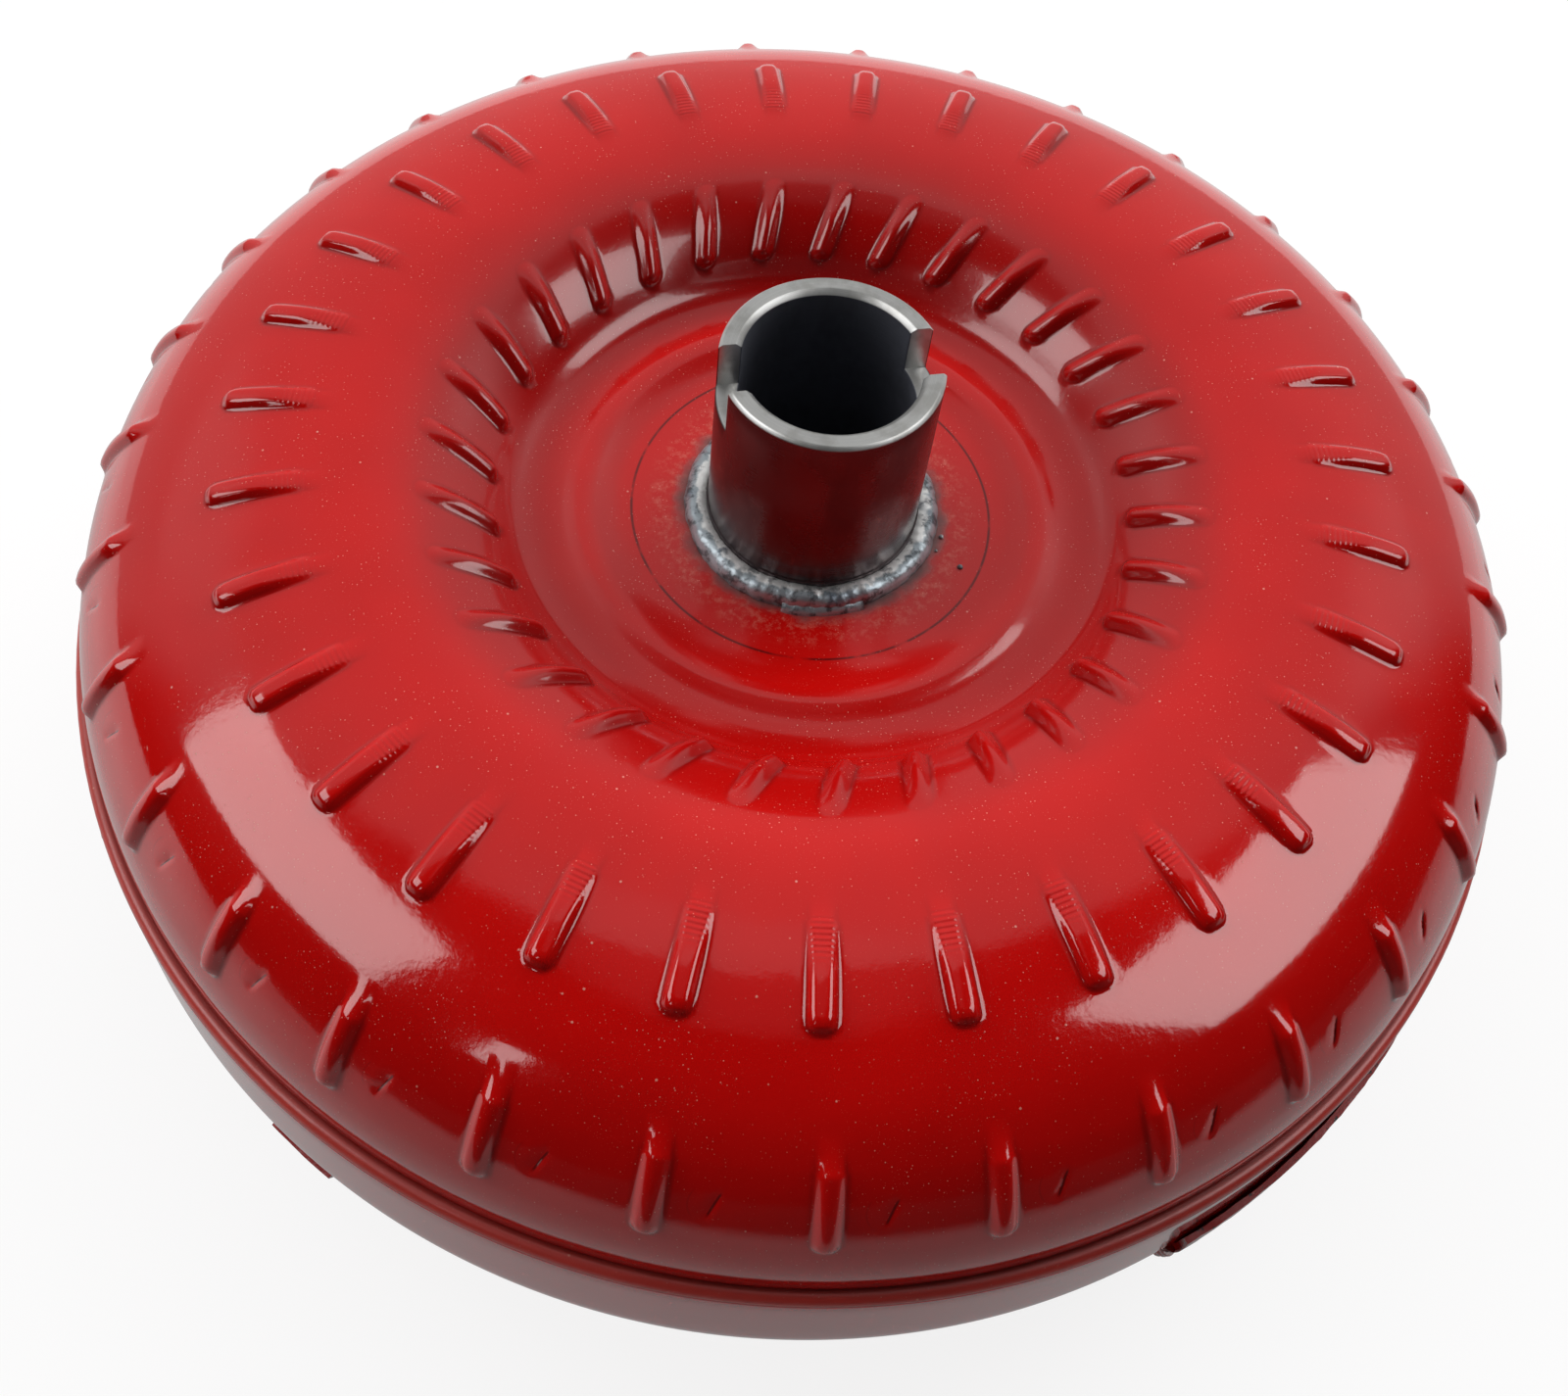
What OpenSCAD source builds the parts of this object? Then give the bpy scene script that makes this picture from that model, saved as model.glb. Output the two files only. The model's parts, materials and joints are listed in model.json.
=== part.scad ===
// Three-element torque converter: a welded steel housing with a pump (impeller)
// inside its upper shell, and a turbine and a one-way-clutch stator that turn in it.
// Millimetres. +Z is the axis towards the pump hub, and z = 0 is the pilot's nose.

/* [Front cover] */
// Outside radius of the cover's skirt
cover_r = 166; // [156:1:176]
// Thickness of the cover's steel
cover_wall = 4.5; // [3.5:0.5:6]
// Outside radius of the pressed shoulder between face and skirt
cover_shoulder_r = 26; // [20:1:30]
// Height of the cover, from its face to the joint with the pump shell
cover_depth = 51; // [46:1:58]
// Radius of the shallow pressed dish in the middle of the face
dish_r = 62; // [52:1:76]
// Depth of that dish
dish_depth = 2; // [1:0.5:3]

/* [Crank pilot] */
// Radius of the pilot that centres the converter in the crankshaft
pilot_r = 21.6; // [18:0.1:24]
// Length of the pilot, from its nose to the cover's dish
pilot_length = 19; // [15:1:26]
// Chamfer at the pilot's nose
pilot_chamfer = 1.5; // [0.5:0.25:3]
// Radius of the recess in the pilot that clears the input shaft's end
pilot_recess_r = 11; // [8:0.5:13]
// Leg of the weld round the pilot
pilot_weld_leg = 4; // [2:0.5:6]

/* [Mounting lugs] */
// Number of lugs for the drive plate
lug_count = 3; // [3:1:6]
// Diameter of the circle of the lugs' tapped holes
bolt_circle_d = 292.1; // [280:0.1:300]
// Radius of a tapped hole, at the drill that the thread starts from
tap_drill_r = 4.25; // [3:0.05:5.5]
// Direction of the first lug about the axis
lug_azimuth = 180.6; // [170:0.2:190]
// Width of a lug as an angle about the axis
lug_angle = 25; // [14:1:30]
// Thickness of a lug under the cover's face
lug_pad = 9; // [6:0.5:11]
// Thickness of the leg that a lug turns up the skirt
lug_leg = 2.2; // [1.4:0.2:5]
// Height that the leg reaches above the end of the shoulder
lug_rise = 3; // [2:1:10]
// Steel of a lug between its hole and its inner edge
lug_margin = 12; // [8:1:16]
// Width of the weld at each end of a lug
lug_weld = 3; // [2:0.5:5]

/* [Balance weight] */
// Direction of the welded balance weight about the axis
weight_azimuth = 221; // [200:0.5:240]
// Angle on the shoulder's arc at which the weight's upper edge lies, below the skirt
weight_drop = 29; // [20:1:45]
// Height of the weight along the shoulder, as an angle on its arc
weight_reach = 28; // [16:1:40]
// Thickness of the balance weight
weight_thickness = 2.8; // [2:0.2:4]
// Width of the balance weight as an angle about the axis
weight_angle = 6; // [3:0.5:10]

/* [Pump shell] */
// Thickness of the pump shell's steel
shell_wall = 3.5; // [3.4:0.1:4]
// Step in radius from the skirt to the smaller pump shell
rim_step = 2.8; // [2:0.1:3.4]
// Height of the shell's straight rim above the joint
rim_height = 4; // [2:0.5:8]
// Radius of the arc at the shell's side
side_arc_r = 38; // [34:0.5:40]
// Radius from the axis at which the shell is highest
crest_r = 103.5; // [98:0.5:106]
// Height of the crest above the top of the side arc
crown_height = 4.4; // [2:0.2:8]
// Radius of the arc that falls from the crest towards the hub
inner_arc_r = 44; // [40:0.5:48]
// Height of the valley round the ridge above the joint
valley_height = 25.4; // [23:0.2:28]
// Radius of the valley's arc
valley_arc_r = 11.5; // [9:0.5:14]
// Height of the ring-shaped ridge above the valley
ridge_rise = 2; // [1.5:0.1:3]
// Radius of the ridge's arc
ridge_arc_r = 5.5; // [5:0.1:7]
// Radius of the fillet between the ridge and the flat pad
pad_fillet_r = 6; // [4:0.5:8]
// Drop from the valley to the flat pad round the hub
pad_drop = 1.4; // [0.6:0.1:2.4]
// Radius of the fine machined line on the pad
pad_line_r = 41; // [36:0.5:43]
// Height of the weld bead that closes shell and cover
closure_bead = 2; // [1:0.2:3]

/* [Embossed ribs] */
// Number of pump blades, and of ribs in each of the three rings
pump_blade_count = 31; // [27:1:35]
// Turn of the outer ring of ribs about the axis
outer_rib_phase = 3.9; // [0:0.1:11]
// Radius from the axis at which an outer rib starts
outer_rib_start = 115.5; // [110:0.5:118]
// Radius from the axis at which an outer rib ends
outer_rib_end = 130.5; // [126:0.5:134]
// Height of an outer rib's crest above the shell
outer_rib_rise = 1.5; // [1:0.1:2]
// Width of an outer rib as an angle about the axis
outer_rib_angle = 2; // [1.4:0.1:2.6]
// Turn of the side ring of ribs about the axis
side_rib_phase = 4.9; // [0:0.1:11]
// Angle on the side arc at which a side rib starts, above the horizontal
side_rib_low = 18; // [14:1:24]
// Angle on the side arc at which a side rib ends
side_rib_high = 45; // [40:1:50]
// Height of a side rib's crest above the shell
side_rib_rise = 1.6; // [1:0.1:2]
// Width of a side rib as an angle about the axis
side_rib_angle = 1.7; // [1.2:0.1:2.2]
// Turn of the inner ring of ribs about the axis, at mid rib
inner_rib_phase = 6.7; // [0:0.1:11]
// Radius from the axis at which an inner rib starts
inner_rib_start = 74; // [72:0.5:77]
// Radius from the axis at which an inner rib ends
inner_rib_end = 86.5; // [84:0.5:92]
// Height of an inner rib's crest above the shell
inner_rib_rise = 1.8; // [1:0.1:2.2]
// Width of an inner rib as an angle about the axis
inner_rib_angle = 3.6; // [2.4:0.1:4.4]
// Slant of the inner ribs off the radial line
inner_rib_slant = 13; // [0:1:20]

/* [Pump hub] */
// Outside radius of the hub that drives the transmission's pump
hub_r = 23.8; // [21:0.1:26]
// Radius of the hub's bore
hub_bore_r = 19.05; // [18:0.05:20]
// Length of the hub above the pad
hub_length = 51; // [40:1:60]
// Width of a drive slot
slot_width = 12.5; // [8:0.5:15]
// Depth of a drive slot
slot_depth = 12.5; // [8:0.5:16]
// Chamfer round the outside of the hub's end
hub_outer_chamfer = 0.8; // [0.3:0.1:1.5]
// Chamfer round the bore at the hub's end
hub_inner_chamfer = 1.2; // [0.5:0.1:2]
// Radius of the hub's flange inside the shell
hub_flange_r = 36; // [33:0.5:40]
// Thickness of that flange
hub_flange_t = 5; // [4:0.5:6]
// Leg of the weld round the foot of the hub
hub_weld_leg = 4.5; // [3:0.5:6]

/* [Flow passage] */
// Radius from the axis of the middle of the core ring
core_r = 112; // [109:0.5:114]
// Radius of the core ring's round section
core_ring_r = 19; // [17:0.5:21]
// Thickness of the core rings' sheet
core_wall = 1.2; // [0.8:0.1:1.6]
// Thickness of a blade's sheet
blade_t = 1.2; // [0.8:0.1:1.6]
// Radius from the axis at which a bowed blade lies along the radial line
blade_bow_start = 125; // [120:1:130]
// Radius of a blade's bow, seen along the axis
blade_bow_r = 250; // [200:5:400]
// Gap across which the pump's and turbine's blades face each other
wheel_gap = 6; // [5:0.5:8]

/* [Turbine] */
// Number of turbine blades
turbine_blade_count = 29; // [25:1:33]
// Thickness of the turbine shell's sheet
turbine_wall = 2.2; // [1.6:0.1:2.6]
// Gap between the turbine and the cover's skirt
turbine_side_gap = 5; // [4:0.5:8]
// Gap between the turbine and the cover's face
turbine_floor_gap = 6.5; // [5:0.5:9]
// Radius from the axis of the middle of the turbine's inner arc
turbine_inner_r = 104; // [101:0.5:106]
// Radius of the bend between the turbine's bowl and its flat flange
turbine_bend_r = 6; // [4:0.5:8]
// Outside radius of the turbine hub
turbine_hub_r = 25; // [22:0.5:28]
// Length of the turbine hub
turbine_hub_length = 28.7; // [26:0.1:31]
// Radius of the turbine hub's flange
turbine_flange_r = 64; // [60:0.5:66]
// Thickness of that flange
turbine_flange_t = 4.5; // [3.5:0.5:5]
// Drop from the top of the turbine hub to its flange
turbine_flange_drop = 2.5; // [2:0.5:4]
// Number of rivets that hold the turbine to its hub
rivet_count = 12; // [8:1:16]
// Distance of the rivets from the flange's edge
rivet_edge = 11.5; // [8:0.5:14]
// Radius of a rivet's shank
rivet_r = 2.5; // [2:0.1:3]
// Height of a rivet's head
rivet_head = 1.4; // [0.8:0.1:1.6]
// Number of spline teeth for the input shaft
turbine_spline_count = 30; // [24:1:34]
// Tip radius of the input shaft's splines
turbine_spline_r = 13.2; // [12:0.1:14]
// Depth of the splines
spline_depth = 1.2; // [0.8:0.1:1.5]

/* [Stator] */
// Number of stator vanes
vane_count = 15; // [11:1:17]
// Radius from the axis at which the vanes start
vane_root_r = 62; // [60:0.5:64]
// Length of a vane along the axis
vane_chord = 19; // [15:0.5:20]
// Slant of the vanes off the axis
vane_slant = 38; // [25:1:45]
// Thickness of the ring that joins the vanes' tips
stator_ring_t = 3; // [2:0.5:4]
// Width of that ring along the axis
stator_ring_w = 17; // [13:1:18]
// Gap between the stator's ring and the core rings
stator_gap = 2; // [1.5:0.5:3]
// Outside radius of the clutch's cam
cam_r = 46; // [45:0.5:48]
// Thickness of the plates that close the clutch
plate_t = 2.4; // [1.6:0.2:3]
// Width of the lip that the front plate rests on
stator_lip = 4.5; // [3:0.5:6]
// Height of that lip
stator_lip_t = 1; // [0.6:0.1:1.2]
// Thickness of the snap ring that holds the rear plate
snap_ring_t = 1.4; // [1:0.1:1.6]

/* [One-way clutch] */
// Outside radius of the inner race
race_r = 29; // [28:0.5:31]
// Radius of a roller
roller_r = 3.4; // [2.6:0.1:3.8]
// Number of rollers
roller_count = 10; // [8:1:11]
// Number of spline teeth for the stator shaft
stator_spline_count = 34; // [28:1:36]
// Tip radius of the stator shaft's splines
stator_spline_r = 16.4; // [15.5:0.1:17]
// Thickness of a folded spring's strip
spring_t = 0.7; // [0.5:0.1:1]

/* [Thrust bearings] */
// Radius of a needle
needle_r = 1; // [0.8:0.1:1.2]
// Number of needles in each bearing
needle_count = 24; // [16:1:28]
// Length of a needle
needle_length = 5; // [4:0.5:6]
// Thickness of a bearing race
race_t = 1.2; // [1:0.1:1.5]
// Radius from the axis of the middle of the front needles
front_needle_r = 22; // [21:0.5:23]
// Radius from the axis of the middle of the rear needles
rear_needle_r = 27; // [25:0.5:29]
// Thickness of the washer between the turbine hub and the cover
washer_t = 2.5; // [1.5:0.5:3.5]

/* [Clearances] */
// Gap between parts that turn past each other
turn_gap = 0.35; // [0.3:0.05:0.6]
// Gap round a part that is pushed into another
fit_gap = 0.05; // [0.02:0.01:0.1]
// Step in radius from a ground surface to the rough root that is welded
ground_step = 0.4; // [0.3:0.05:0.6]

/* [Hidden] */

$fn = 96;
far = 400;
paint = "firebrick";
steel = "silver";
dark_steel = "dimgray";

// Levels along the axis, from the pilot's nose up
dish_z = pilot_length;
face_z = dish_z + dish_depth;
inside_z = dish_z + cover_wall;
floor_z = face_z + cover_wall;
joint_z = face_z + cover_depth;
shoulder_z = face_z + cover_shoulder_r;
crest_z = joint_z + rim_height + side_arc_r + crown_height;
valley_z = joint_z + valley_height;
pad_z = valley_z - pad_drop;
pad_under_z = pad_z - shell_wall;
hub_top_z = pad_z + hub_length;
flange_z = pad_under_z - hub_flange_t;
mid_z = joint_z + 1;

// The stack of thrust faces: the turbine hub from below, the pump hub from above
turbine_hub_z = inside_z + washer_t + turn_gap;
turbine_top_z = turbine_hub_z + turbine_hub_length;
front_needle_z = turbine_top_z + race_t + turn_gap + needle_r;
stator_low_z = front_needle_z + needle_r + turn_gap + race_t;
rear_needle_z = flange_z - race_t - turn_gap - needle_r;
stator_high_z = rear_needle_z - needle_r - turn_gap - race_t;
cam_low_z = stator_low_z + plate_t;
cam_high_z = stator_high_z - plate_t;
wheel_low_z = stator_low_z - stator_lip_t;
wheel_high_z = stator_high_z + snap_ring_t + 0.8;

// Radii of the housing
skirt_inside_r = cover_r - cover_wall;
shoulder_r = cover_r - cover_shoulder_r;
rim_r = cover_r - rim_step;
bolt_r = bolt_circle_d / 2;
pilot_root_r = pilot_r + ground_step;
hub_root_r = hub_r + ground_step;

// Centres of the tangent arcs that make the pump shell's outline.
// The crown's radius is the one that makes it tangent to the side arc.
side_c = [rim_r - side_arc_r, joint_z + rim_height];
crown_a = side_c[0] + side_arc_r - crest_r;
crown_b = crest_z - side_c[1];
crown_arc_r = (crown_a * crown_a + crown_b * crown_b - 2 * crown_a * side_arc_r)
    / (2 * (crown_b - side_arc_r));
crown_c = [crest_r, crest_z - crown_arc_r];
inner_c = [crest_r, crest_z - inner_arc_r];
valley_c = [
    crest_r - leg(inner_arc_r + valley_arc_r, valley_z + valley_arc_r - inner_c[1]),
    valley_z + valley_arc_r
];
ridge_cz = valley_z + ridge_rise - ridge_arc_r;
ridge_c = [
    valley_c[0] - leg(ridge_arc_r + valley_arc_r, valley_c[1] - ridge_cz),
    ridge_cz
];
fillet_c = [
    ridge_c[0] - leg(ridge_arc_r + pad_fillet_r, pad_z + pad_fillet_r - ridge_cz),
    pad_z + pad_fillet_r
];
crown_angle = direction(crown_c, side_c);
inner_angle = direction(inner_c, valley_c);
valley_angle = direction(valley_c, ridge_c) + 360;
ridge_angle = direction(ridge_c, fillet_c);

// Centres of the turbine bowl's arcs
turbine_rim_z = mid_z - wheel_gap / 2;
turbine_r = skirt_inside_r - turbine_side_gap;
turbine_low_z = floor_z + turbine_floor_gap;
turbine_arc_r = turbine_rim_z - turbine_low_z;
bowl_c = [turbine_r - turbine_arc_r, turbine_rim_z];
bowl_inner_c = [turbine_inner_r, turbine_rim_z];
turbine_flange_top_z = turbine_top_z - turbine_flange_drop;
turbine_flange_z = turbine_flange_top_z - turbine_flange_t;
bend_cz = turbine_flange_z - turbine_wall - turbine_bend_r;
bend_c = [
    turbine_inner_r - leg(turbine_arc_r + turbine_bend_r, turbine_rim_z - bend_cz),
    bend_cz
];
bend_angle = direction(bowl_inner_c, bend_c) + 360;
flange_inner_r = turbine_hub_r + fit_gap;
rivet_circle_r = turbine_flange_r - rivet_edge;

core_c = [core_r, mid_z];
stator_ring_r = core_r - core_ring_r - stator_gap;
vane_tip_r = stator_ring_r - stator_ring_t;
pump_low_z = max(mid_z + wheel_gap / 2, side_c[1]);

// A vane's belly and hollow are arcs, and its nose is a small circle
vane_belly_r = vane_chord * 0.7;
vane_hollow_r = vane_chord * 2;
vane_nose_r = 1.7;

// The clutch: rollers lie between the race and the cam's pockets
roller_c_r = race_r + turn_gap + roller_r;
cam_bore_r = race_r + 2 * turn_gap;
pocket_r = roller_r + 0.3;
pocket_length = 9;
plate_bore_r = stator_spline_r + spline_depth + 1.2;
snap_groove = 1.5;
spigot = 6;

// Relief behind a lug's hole, and how far pump blades stay clear of the stator
tap_relief = 1.5;
blade_inset = 8;

// Turn by which the bands of a section overlap, so that they fuse
overlap = 1;

function leg(hypotenuse, side) = sqrt(hypotenuse * hypotenuse - side * side);
function direction(from, to) = atan2(to[1] - from[1], to[0] - from[0]);
function on_circle(r, a) = [r * cos(a), r * sin(a)];

// A sector of an annulus about c, between two radii and two angles
module arc_band(c, r_in, r_out, a0, a1) {
    translate(c) intersection() {
        difference() {
            circle(r = r_out);
            circle(r = r_in);
        }
        polygon([[0, 0], on_circle(far, a0), on_circle(far, a1)]);
    }
}

// A slice of a disc about c, between two angles
module arc_slice(c, r, a0, a1) {
    translate(c) intersection() {
        circle(r = r);
        polygon([[0, 0], on_circle(far, a0), on_circle(far, a1)]);
    }
}

// A rectangle from radius r0 to r1 and from level z0 to z1
module block(r0, r1, z0, z1) {
    translate([r0, z0]) square([r1 - r0, z1 - z0]);
}

module ring(r0, r1, z0, z1) {
    translate([0, 0, z0]) difference() {
        cylinder(r = r1, h = z1 - z0);
        translate([0, 0, -1]) cylinder(r = r0, h = z1 - z0 + 2);
    }
}

module around(count, phase = 0) {
    for (i = [0 : count - 1]) rotate(phase + i * 360 / count) children();
}

// Part of a ring that spans an angle centred on an azimuth
module span(azimuth, angle) {
    rotate(azimuth - angle / 2) rotate_extrude(angle = angle) children();
}

module splined_hole(r, count, z0, z1) {
    step = 360 / count;
    translate([0, 0, z0 - 1]) linear_extrude(z1 - z0 + 2) polygon([
        for (i = [0 : count - 1], p = [[-0.32, 0], [-0.2, 1], [0.2, 1], [0.32, 0]])
            on_circle(r + p[1] * spline_depth, (i + p[0]) * step)
    ]);
}

// ---- Housing ----

module cover_outline() {
    block(shoulder_r, cover_r, shoulder_z, joint_z);
    arc_slice([shoulder_r, shoulder_z], cover_shoulder_r, 270, 360);
    block(0, shoulder_r, face_z, joint_z);
}

module front_cover() {
    color(paint) rotate_extrude() {
        block(skirt_inside_r, cover_r, shoulder_z, joint_z);
        arc_band([shoulder_r, shoulder_z], cover_shoulder_r - cover_wall,
            cover_shoulder_r, 270, 360);
        block(dish_r, shoulder_r, face_z, floor_z);
        block(dish_r, dish_r + cover_wall, dish_z, floor_z);
        block(pilot_root_r + fit_gap, dish_r, dish_z, inside_z);
    }
}

module crank_pilot() {
    root_z = dish_z - pilot_weld_leg;
    color(steel) difference() {
        union() {
            cylinder(r1 = pilot_r - pilot_chamfer, r2 = pilot_r, h = pilot_chamfer);
            translate([0, 0, pilot_chamfer])
                cylinder(r = pilot_r, h = inside_z - pilot_chamfer);
            translate([0, 0, root_z]) cylinder(r = pilot_root_r, h = inside_z - root_z);
        }
        translate([0, 0, inside_z - pilot_length * 0.55])
            cylinder(r = pilot_recess_r, h = pilot_length);
    }
}

module pilot_weld() {
    color(dark_steel) rotate_extrude() polygon([[pilot_root_r, dish_z],
        [pilot_root_r, dish_z - pilot_weld_leg], [pilot_root_r + pilot_weld_leg, dish_z]]);
}

// A lug's pad lies on the cover's face, and its leg turns up the skirt
module lug_section() {
    difference() {
        union() {
            block(bolt_r - tap_drill_r - lug_margin, bolt_r + tap_drill_r + lug_margin,
                face_z - lug_pad, shoulder_z);
            arc_slice([shoulder_r, shoulder_z], cover_shoulder_r + lug_leg, 270, 360);
            block(shoulder_r, cover_r + lug_leg, shoulder_z, shoulder_z + lug_rise);
        }
        cover_outline();
    }
}

module mounting_lugs() {
    color(paint) around(lug_count, lug_azimuth) difference() {
        span(0, lug_angle) lug_section();
        translate([bolt_r, 0, 0]) cylinder(r = tap_drill_r, h = shoulder_z);
        translate([bolt_r, 0, face_z - tap_relief])
            cylinder(r = tap_drill_r + tap_relief, h = shoulder_z - face_z);
    }
}

module lug_welds() {
    width = lug_weld / cover_r * 180 / PI;
    color(dark_steel) around(lug_count, lug_azimuth) {
        for (side = [-1, 1]) span(side * (lug_angle + width) / 2, width)
            arc_band([shoulder_r, shoulder_z], cover_shoulder_r,
                cover_shoulder_r + lug_leg * 0.7, 275, 355);
    }
}

module balance_weight() {
    top = 360 - weight_drop;
    color(paint) span(weight_azimuth, weight_angle) arc_band([shoulder_r, shoulder_z],
        cover_shoulder_r, cover_shoulder_r + weight_thickness, top - weight_reach, top);
}

module closure_weld() {
    crown = closure_bead * 0.75;
    color(paint) rotate_extrude() translate([rim_r, joint_z])
        polygon([[0, 0], [closure_bead, 0], [crown, crown], [0, closure_bead]]);
}

// The wall of the pump shell: bands of the same steel along arcs that meet tangent.
// Each overlaps the next by a short turn, so that they fuse into one section.
module shell_section() {
    arc_band(side_c, side_arc_r - shell_wall, side_arc_r, 0, crown_angle + overlap);
    arc_band(crown_c, crown_arc_r - shell_wall, crown_arc_r, crown_angle, 90);
    arc_band(inner_c, inner_arc_r - shell_wall, inner_arc_r,
        90 - overlap, inner_angle + overlap);
    arc_band(valley_c, valley_arc_r, valley_arc_r + shell_wall,
        valley_angle - overlap, inner_angle + 180);
    arc_band(ridge_c, ridge_arc_r - shell_wall, ridge_arc_r,
        valley_angle - 180, ridge_angle + overlap);
    arc_band(fillet_c, pad_fillet_r, pad_fillet_r + shell_wall, 270 - overlap,
        ridge_angle + 180);
    block(hub_root_r + fit_gap, fillet_c[0], pad_under_z, pad_z);
    block(rim_r - shell_wall, rim_r, joint_z, side_c[1] + shell_wall / 2);
    block(rim_r - shell_wall, skirt_inside_r - fit_gap, joint_z - spigot, joint_z + 1);
}

// A rib pressed out of an arc about c: its crest rises and falls along the rib,
// and its sides stand in planes through the axis
module crested_rib(c, arc_r, a0, a1, rise, width) {
    half = arc_r * sin((a1 - a0) / 2);
    height = arc_r * (1 - cos((a1 - a0) / 2)) + rise;
    crest_arc_r = (half * half + height * height) / (2 * height);
    crest_c = c + on_circle(arc_r + rise - crest_arc_r, (a0 + a1) / 2);
    span(0, width) intersection() {
        translate(crest_c) circle(r = crest_arc_r);
        arc_band(c, arc_r - shell_wall / 2, arc_r + 2 * rise, a0 - 5, a1 + 5);
    }
}

module outer_ribs() {
    around(pump_blade_count, outer_rib_phase) crested_rib(crown_c, crown_arc_r,
        acos((outer_rib_end - crest_r) / crown_arc_r),
        acos((outer_rib_start - crest_r) / crown_arc_r), outer_rib_rise, outer_rib_angle);
}

module side_ribs() {
    around(pump_blade_count, side_rib_phase) crested_rib(side_c, side_arc_r, side_rib_low,
        side_rib_high, side_rib_rise, side_rib_angle);
}

module inner_ribs() {
    middle = (inner_rib_start + inner_rib_end) / 2;
    around(pump_blade_count, inner_rib_phase) translate([middle, 0, 0])
        rotate(-inner_rib_slant) translate([-middle, 0, 0]) crested_rib(inner_c, inner_arc_r,
            acos((inner_rib_end - crest_r) / inner_arc_r),
            acos((inner_rib_start - crest_r) / inner_arc_r), inner_rib_rise, inner_rib_angle);
}

module impeller_shell() {
    color(paint) difference() {
        union() {
            rotate_extrude() shell_section();
            outer_ribs();
            side_ribs();
            inner_ribs();
        }
        ring(pad_line_r - 0.3, pad_line_r + 0.3, pad_z - 0.4, pad_z + 1);
    }
}

// The plan of one blade: a bowed strip that lies along the radius where the bow starts
module blade_plan() {
    reach = asin(65 / blade_bow_r);
    arc_band([blade_bow_start, blade_bow_r], blade_bow_r - blade_t / 2,
        blade_bow_r + blade_t / 2, 270 - reach, 270 + reach * 0.8);
}

// The passage that a pump blade fills, from the shell's inner face to the core
module pump_passage() {
    edge = core_r - core_ring_r + 3;
    root = [vane_root_r + blade_inset, pad_z + blade_inset / 2];
    difference() {
        union() {
            arc_slice(side_c, side_arc_r - shell_wall, 0, crown_angle + overlap);
            arc_slice(crown_c, crown_arc_r - shell_wall, crown_angle, 90);
            arc_slice(inner_c, inner_arc_r - shell_wall, 90 - overlap, inner_angle);
        }
        block(0, far, 0, pump_low_z);
        translate(core_c) circle(r = core_ring_r);
        polygon([root, [edge, mid_z + stator_ring_w / 2 + 1], [edge, 0], [0, 0], [0, root[1]]]);
    }
}

module impeller_blades() {
    color(steel) intersection() {
        rotate_extrude() pump_passage();
        around(pump_blade_count, outer_rib_phase)
            linear_extrude(crest_z) blade_plan();
    }
}

module core_section(z0, z1) {
    intersection() {
        translate(core_c) difference() {
            circle(r = core_ring_r);
            circle(r = core_ring_r - core_wall);
        }
        block(0, far, z0, z1);
    }
}

module impeller_core_ring() {
    color(steel) rotate_extrude() core_section(pump_low_z, crest_z);
}

module impeller_hub() {
    color(steel) difference() {
        union() {
            translate([0, 0, pad_under_z])
                cylinder(r = hub_r, h = hub_top_z - hub_outer_chamfer - pad_under_z);
            translate([0, 0, hub_top_z - hub_outer_chamfer]) cylinder(r1 = hub_r,
                r2 = hub_r - hub_outer_chamfer, h = hub_outer_chamfer);
            translate([0, 0, flange_z]) cylinder(r = hub_flange_r, h = hub_flange_t);
            translate([0, 0, pad_under_z])
                cylinder(r = hub_root_r, h = pad_z + hub_weld_leg - pad_under_z);
        }
        translate([0, 0, flange_z - 1]) cylinder(r = hub_bore_r, h = far);
        translate([0, 0, hub_top_z - hub_inner_chamfer]) cylinder(r1 = hub_bore_r,
            r2 = hub_bore_r + 2 * hub_inner_chamfer, h = 2 * hub_inner_chamfer);
        translate([-far / 2, -slot_width / 2, hub_top_z - slot_depth])
            cube([far, slot_width, far]);
    }
}

module hub_weld() {
    color(dark_steel) rotate_extrude() arc_slice([hub_root_r, pad_z], hub_weld_leg, 0, 90);
}

module rear_race() {
    color(steel) ring(rear_needle_r - needle_length / 2 - 0.6,
        rear_needle_r + needle_length / 2 + 0.6, flange_z - race_t, flange_z);
}

module cover_thrust_washer() {
    color("goldenrod") ring(pilot_recess_r + 4, turbine_hub_r, inside_z, inside_z + washer_t);
}

// ---- Turbine ----

module turbine_shell() {
    color(steel) difference() {
        rotate_extrude() {
            arc_band(bowl_c, turbine_arc_r - turbine_wall, turbine_arc_r,
                270 - overlap, 360);
            block(bowl_inner_c[0], bowl_c[0], turbine_low_z, turbine_low_z + turbine_wall);
            arc_band(bowl_inner_c, turbine_arc_r - turbine_wall, turbine_arc_r,
                bend_angle - overlap, 270 + overlap);
            arc_band(bend_c, turbine_bend_r, turbine_bend_r + turbine_wall,
                bend_angle - 180, 90 + overlap);
            block(flange_inner_r, bend_c[0], turbine_flange_z - turbine_wall,
                turbine_flange_z);
        }
        rivet_holes();
    }
}

module rivet_holes() {
    around(rivet_count) translate([rivet_circle_r, 0, turbine_flange_z - turbine_wall - 1])
        cylinder(r = rivet_r + fit_gap, h = turbine_flange_t + turbine_wall + 2);
}

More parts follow.
